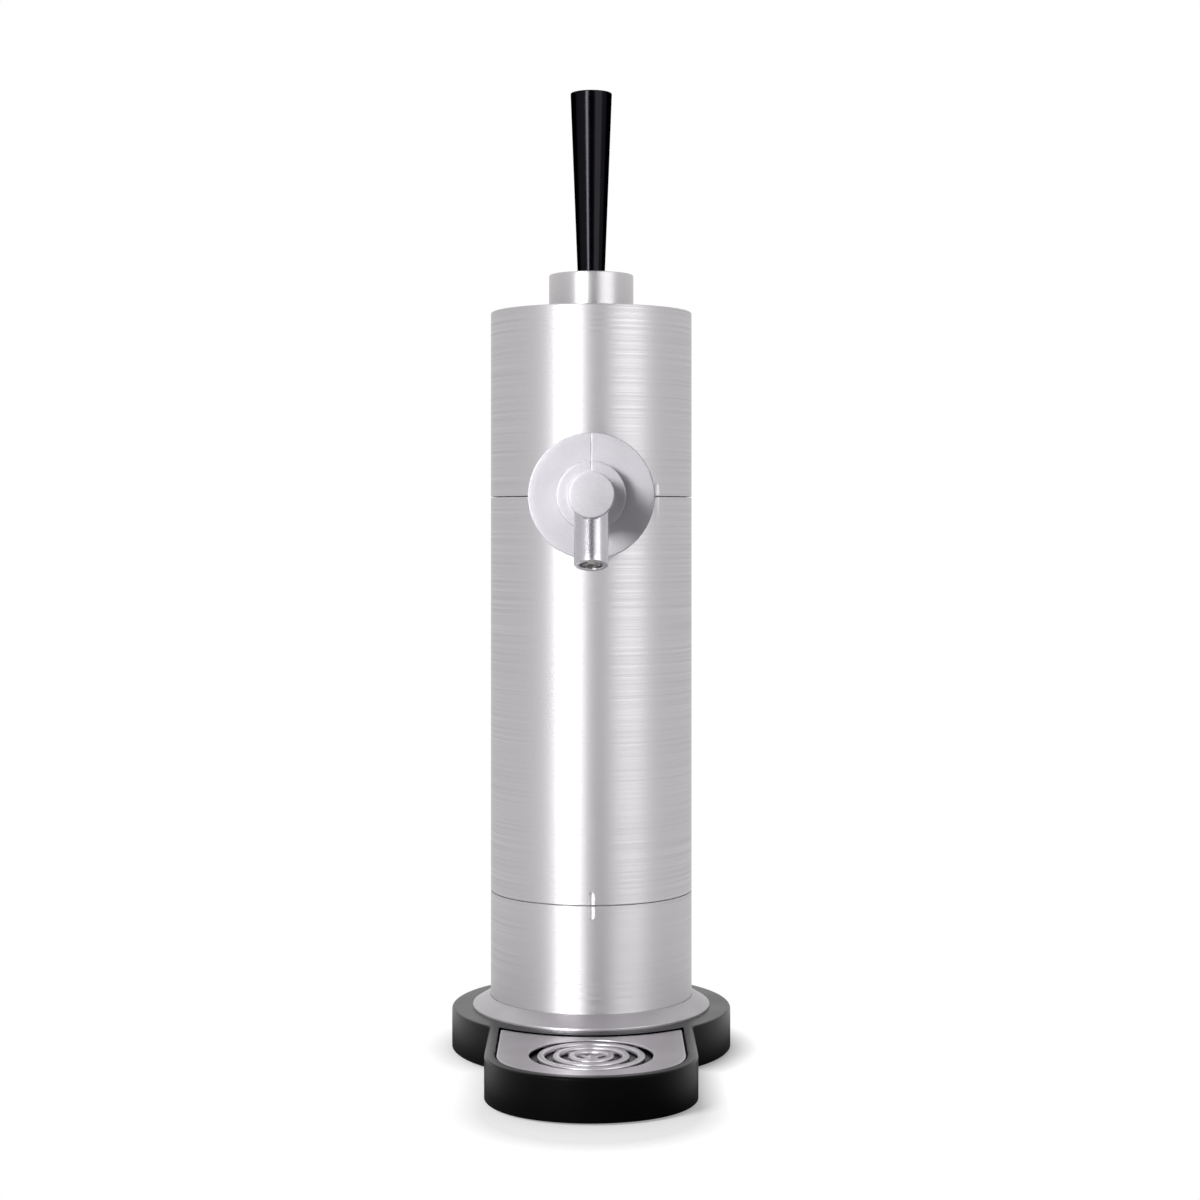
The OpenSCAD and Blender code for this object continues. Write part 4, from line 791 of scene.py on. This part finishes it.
class DISPENSER_OT_tap(bpy.types.Operator):
    """Makes the tap plate that saddles the column, the turning body and its leaning spout"""
    bl_idname = "dispenser.tap"
    bl_label = "Tap"

    def notch(self, s, x, y):
        """Depth of the index line: a V along the upward radius, deepest on that radius."""
        return np.where(y > 0, s.line_depth * np.clip(1 - np.abs(x) / (s.line_width / 2), 0, 1), 0)

    def plate(self, s, f, R, lay):
        """The round plate, its spigot for the hub and the nipple that the nut holds inside the head."""
        behind, rear = 30 * MM, 31 * MM
        edge, front = s.plate_radius, s.plate_front
        face = denser(rounded([(s.recess, front), (edge, front), (edge, behind)], {1: 0.6 * MM}, 6), 3 * MM)

        def saddle(r, h, a):
            """The back edge and back face follow the column: forward distance = sqrt(R squared - x squared)."""
            x, y = r * np.cos(a), r * np.sin(a)
            seat = np.sqrt(np.maximum((R + np.where(y > 0, 0.06, 0.3) * MM) ** 2 - x**2, 0))
            h = np.where((r > s.hub_radius) & (r < edge - MM), h - self.notch(s, x, y), h)
            return r + 0 * a, np.where(h < rear, seat, np.maximum(h, seat))

        back = np.stack([np.linspace(edge, 0, 12), np.full(12, behind)], -1)[1:]
        spigot = rounded(SPIGOT, {3: 0.3 * MM}, 3)
        profile = np.concatenate([spigot, face[face[:, 1] > rear], [(edge, behind)], back])
        build = Build().grid(turned(profile, columns_at(180, [(math.pi / 2, 0.05, 0.004)]), lay, saddle))
        nut_height = float(np.mean([corner[2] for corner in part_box("escutcheon_nut")]))
        build.grid(turned(looped(np.array(NIPPLE)), columns_at(48), forward(nut_height)))
        build.make("tap_plate", "head", f["cast"], ("escutcheon",), slot="satin_cast")

    def body(self, s, f, lay):
        """The hub with its index line, the barrel with its rounded front, and the nose in the plate's spigot."""
        front, b, hub, face = s.barrel_front, s.barrel_radius, s.hub_radius, s.hub_front
        rear = s.plate_front + 0.3 * MM
        outline = [(0, face + MM), (s.recess, face + MM), (s.recess, rear), (hub, rear), (hub, face), (b, face),
                   (b, front - 0.4 * MM), (0.4 * b, front - 0.08 * MM), (0, front)]
        outline = rounded(outline, {3: 0.3 * MM, 4: 0.8 * MM, 5: 0.5 * MM, 6: 0.8 * MM}, 7)

        def lined(r, h, a):
            """The index line lies on the hub's face only."""
            x, y = r * np.cos(a), r * np.sin(a)
            on_face = (r > b + 0.6 * MM) & (r < hub - 0.2 * MM) & (h > face - 0.5 * MM)
            return r + 0 * a, np.where(on_face, h - self.notch(s, x, y), h + 0 * a)

        angles = columns_at(160, [(math.pi / 2, 0.06, 0.005)])
        build = Build().grid(turned(denser(outline, 2.5 * MM), angles, lay, lined))
        bore, wide, tip = 2.4 * MM, 4.5 * MM, face + 1.2 * MM
        nose = rounded([(bore, rear), (wide, rear), (wide, tip), (bore, tip)], {1: 0.3 * MM}, 3)
        build.grid(turned(looped(nose), columns_at(48), lay))
        build.make("tap_barrel", "tap", f["cast"], ("tap_body",), slot="satin_cast")

    def spout(self, s, f):
        """The leaning tube with its eased mouth, closed 4 mm below its top."""
        mouth = (0, s.setback - s.barrel_front, s.height - s.spout_drop)
        R, bore, top = s.spout_radius, s.spout_bore, s.spout_length
        roof = top - 4 * MM
        tube = rounded([(0, roof), (bore, roof), (bore, 0), (R, 0), (R, top), (0, top)],
                       {1: MM, 2: 0.35 * MM, 3: 0.45 * MM}, 5)
        build = Build().grid(turned(denser(tube, 3 * MM), columns_at(96), leaning(mouth, s.lean)))
        build.make("spout", "tap", f["tube"], ("spout_tube",), slot="satin_cast")

    def execute(self, context):
        s, f = context.scene.dispenser_tap, finishes()
        lay = forward(s.height)
        self.plate(s, f, context.scene.dispenser_column.radius, lay)
        self.body(s, f, lay)
        self.spout(s, f)
        return {"FINISHED"}


class DISPENSER_OT_lever(bpy.types.Operator):
    """Makes the polished handle, a cone that flares gently upward"""
    bl_idname = "dispenser.lever"
    bl_label = "Lever"

    def execute(self, context):
        s, f = context.scene.dispenser_lever, finishes()
        z0, z1, zc = foot_of("lever_handle"), top_of("lever_handle"), top_of("collar")
        flare, top = zc + s.straight, z1 - s.edge
        t = np.linspace(0, 1, 18)
        radius = s.low_radius + (s.top_radius - s.low_radius) * np.minimum(1, 0.06 + 0.94 * t)
        cone = np.stack([radius, flare + (top - flare) * t], -1)
        edge = rounded([(s.top_radius, top - s.edge), (s.top_radius, z1), (0, z1)], {1: s.edge}, 8)[1:]
        profile = np.concatenate([[(0, z0), (s.low_radius, z0), (s.low_radius, zc)], cone[:-1], edge])
        build = Build().grid(turned(profile, columns_at(96)))
        build.make("handle", "lever", f["gloss"], ("lever_handle",), slot="black_gloss")
        return {"FINISHED"}


class DISPENSER_OT_inner(bpy.types.Operator):
    """Gives every piece that keeps its built shape the finish of the real one"""
    bl_idname = "dispenser.inner"
    bl_label = "Other pieces"

    def execute(self, context):
        f = finishes()
        for finish, nodes in WEAR.items():
            for node in nodes:
                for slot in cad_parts[node].material_slots:
                    slot.material = f[finish]
        return {"FINISHED"}


class DISPENSER_OT_stage(bpy.types.Operator):
    """Makes the white floor, the soft studio lights and the camera of the photograph"""
    bl_idname = "dispenser.stage"
    bl_label = "Stage"

    def lamp(self, name, at, target, size, power, matt, gloss):
        """A soft box that faces its target. It lights matt surfaces, or is seen in gloss, or both."""
        light = bpy.data.lights.new(name, "AREA")
        light.shape, light.size, light.size_y, light.energy = "RECTANGLE", size[0], size[1], power
        obj = bpy.data.objects.new(name, light)
        bpy.context.scene.collection.objects.link(obj)
        d = np.array(target, float) - np.array(at, float)
        pitch, yaw = math.atan2(d[2], math.hypot(d[0], d[1])), math.atan2(d[1], d[0])
        obj.location, obj.rotation_euler = at, (pitch + math.pi / 2, 0, yaw - math.pi / 2)
        obj.visible_diffuse, obj.visible_glossy = matt, gloss

    def distance(self, tree):
        """Distance on the floor from the outline of the painted shade: the nearer of the base's round foot and a line
        from the column's axis to a point 110 mm in front of it, with half the tongue's width about it. That line's
        round end lies about 23 mm in front of the tongue, so the painted shade reaches further forward there."""
        spot = here(tree)
        axis = add(tree, "ShaderNodeVectorMath", {0: spot, 1: (0, 0, 0)}, operation="MINIMUM").outputs[0]
        axis = add(tree, "ShaderNodeVectorMath", {0: axis, 1: PAINTED_SHADE_END}, operation="MAXIMUM").outputs[0]
        tongue = add(tree, "ShaderNodeVectorMath", {0: spot, 1: axis}, operation="DISTANCE").outputs["Value"]
        disc = add(tree, "ShaderNodeVectorMath", {0: spot}, operation="LENGTH").outputs["Value"]
        tongue, disc = calc(tree, "SUBTRACT", tongue, TONGUE_HALF), calc(tree, "SUBTRACT", disc, FOOT_RADIUS)
        return calc(tree, "MINIMUM", tongue, disc)

    def sweep(self, colour):
        """White paper. Camera and glossy rays see it plain white further out and, within 12 mm of the shade's outline,
        the grey paper
        with its shadows: painted shade round the base. Matt surfaces see it grey, and gloss sees it painted dark close
        to the base: painted shade in its reflections."""
        mat = bpy.data.materials.new("White sweep")
        mat.use_nodes = True
        tree = mat.node_tree
        tree.nodes.clear()
        rays = add(tree, "ShaderNodeLightPath").outputs
        seen = calc(tree, "MAXIMUM", rays["Is Camera Ray"], rays["Is Glossy Ray"])
        seen = calc(tree, "MAXIMUM", seen, rays["Is Transmission Ray"])
        apart = self.distance(tree)
        paper = add(tree, "ShaderNodeBsdfDiffuse", {"Color": list(colour) + [1.0]}).outputs[0]
        glow = add(tree, "ShaderNodeEmission", {"Color": (1, 1, 1, 1), "Strength": 1.0}).outputs[0]
        # Painted shade round the base: near its outline camera and glossy rays see mostly the grey paper, which turns
        # to plain white 12 mm out
        clear = spread(tree, apart, 0.0, 12 * MM, 0.34, 1.0)
        lit = add(tree, "ShaderNodeMixShader", {0: clear, 1: paper, 2: glow}).outputs[0]
        dim = add(tree, "ShaderNodeBsdfDiffuse", {"Color": srgb("#8C8C8C")}).outputs[0]
        both = add(tree, "ShaderNodeMixShader", {0: seen, 1: dim, 2: lit}).outputs[0]
        # Painted shade in reflections: glossy rays see the floor up to 90 % black within 10 mm of the shade's outline,
        # fading out by 70 mm
        close = spread(tree, apart, 10 * MM, 70 * MM, 0.9, 0.0)
        shaded = calc(tree, "MULTIPLY", rays["Is Glossy Ray"], close)
        dark = add(tree, "ShaderNodeEmission", {"Color": (0, 0, 0, 1), "Strength": 0.0}).outputs[0]
        both = add(tree, "ShaderNodeMixShader", {0: shaded, 1: both, 2: dark}).outputs[0]
        add(tree, "ShaderNodeOutputMaterial", {"Surface": both})
        return mat

    def studio(self, scene):
        """The room: white to the camera, a faint even light to matt surfaces, and to gloss grey in front of the
        column with white at the sides and behind."""
        world = bpy.data.worlds.new("Studio")
        scene.world = world
        world.use_nodes = True
        tree = world.node_tree
        tree.nodes.clear()
        rays = add(tree, "ShaderNodeLightPath").outputs
        way = add(tree, "ShaderNodeSeparateXYZ", {0: add(tree, "ShaderNodeTexCoord").outputs["Generated"]}).outputs
        side = calc(tree, "ABSOLUTE", way["X"])
        side = calc(tree, "MAXIMUM", side, spread(tree, way["Y"], -0.2, 0.2, 0.0, 1.0))
        room = between(tree, spread(tree, side, 0.12, 0.5, 0.0, 1.0), srgb("#6C6C6C"), srgb("#FFFFFF"))
        seen = calc(tree, "MAXIMUM", rays["Is Glossy Ray"], rays["Is Transmission Ray"])
        soft = add(tree, "ShaderNodeBackground", {"Color": srgb("#F0F0F0"), "Strength": 0.18}).outputs[0]
        shine = add(tree, "ShaderNodeBackground", {"Color": room, "Strength": 1.0}).outputs[0]
        white = add(tree, "ShaderNodeBackground", {"Color": (1, 1, 1, 1), "Strength": 1.0}).outputs[0]
        mixed = add(tree, "ShaderNodeMixShader", {0: seen, 1: soft, 2: shine}).outputs[0]
        mixed = add(tree, "ShaderNodeMixShader", {0: rays["Is Camera Ray"], 1: mixed, 2: white}).outputs[0]
        add(tree, "ShaderNodeOutputWorld", {"Surface": mixed})

    def execute(self, context):
        s, scene = context.scene.dispenser_stage, context.scene
        mesh = bpy.data.meshes.new("floor")
        w = FLOOR_HALF
        mesh.from_pydata([(-w, -w, 0), (w, -w, 0), (w, w, 0), (-w, w, 0)], [], [(0, 1, 2, 3)])
        floor = bpy.data.objects.new("floor", mesh)
        scene.collection.objects.link(floor)
        mesh.materials.append(self.sweep(s.floor))
        self.studio(scene)
        for row in LAMPS:
            self.lamp(*row)

        camera = bpy.data.cameras.new("camera")
        camera.sensor_width, camera.lens = 36, s.lens
        camera.shift_x, camera.shift_y = s.shift_x, s.shift_y
        obj = bpy.data.objects.new("camera", camera)
        scene.collection.objects.link(obj)
        obj.location, obj.rotation_euler = (0, -s.distance, s.height), (math.pi / 2, 0, 0)
        scene.camera = obj
        scene.view_settings.view_transform = "Standard"
        return {"FINISHED"}


class DISPENSER_PT_panel(bpy.types.Panel):
    """Lists the steps that make the dispenser"""
    bl_idname = "DISPENSER_PT_panel"
    bl_label = "Dispenser"
    bl_space_type = "VIEW_3D"
    bl_region_type = "UI"
    bl_category = "Dispenser"

    def draw(self, context):
        for step in STEPS:
            self.layout.operator(step.bl_idname)
        for name in GROUPS:
            group = getattr(context.scene, name)
            box = self.layout.box()
            for key in group.__annotations__:
                box.prop(group, key)


STEPS = (
    DISPENSER_OT_stage,
    DISPENSER_OT_column,
    DISPENSER_OT_base,
    DISPENSER_OT_grille,
    DISPENSER_OT_tap,
    DISPENSER_OT_lever,
    DISPENSER_OT_inner,
)
GROUPS = {
    "dispenser_column": ColumnSettings,
    "dispenser_base": BaseSettings,
    "dispenser_tap": TapSettings,
    "dispenser_lever": LeverSettings,
    "dispenser_stage": StageSettings,
}


def register():
    """Adds the groups, the operators and the panel."""
    for cls in (*GROUPS.values(), *STEPS, DISPENSER_PT_panel):
        bpy.utils.register_class(cls)
    for name, cls in GROUPS.items():
        setattr(bpy.types.Scene, name, PointerProperty(type=cls))


def unregister():
    """Takes away what register added."""
    for name in GROUPS:
        delattr(bpy.types.Scene, name)
    for cls in (DISPENSER_PT_panel, *reversed(STEPS), *reversed(GROUPS.values())):
        bpy.utils.unregister_class(cls)


def main():
    """Makes the whole scene, one operator after the other."""
    register()
    for step in STEPS:
        group, name = step.bl_idname.split(".")
        getattr(getattr(bpy.ops, group), name)()


if __name__ == "__main__":
    main()
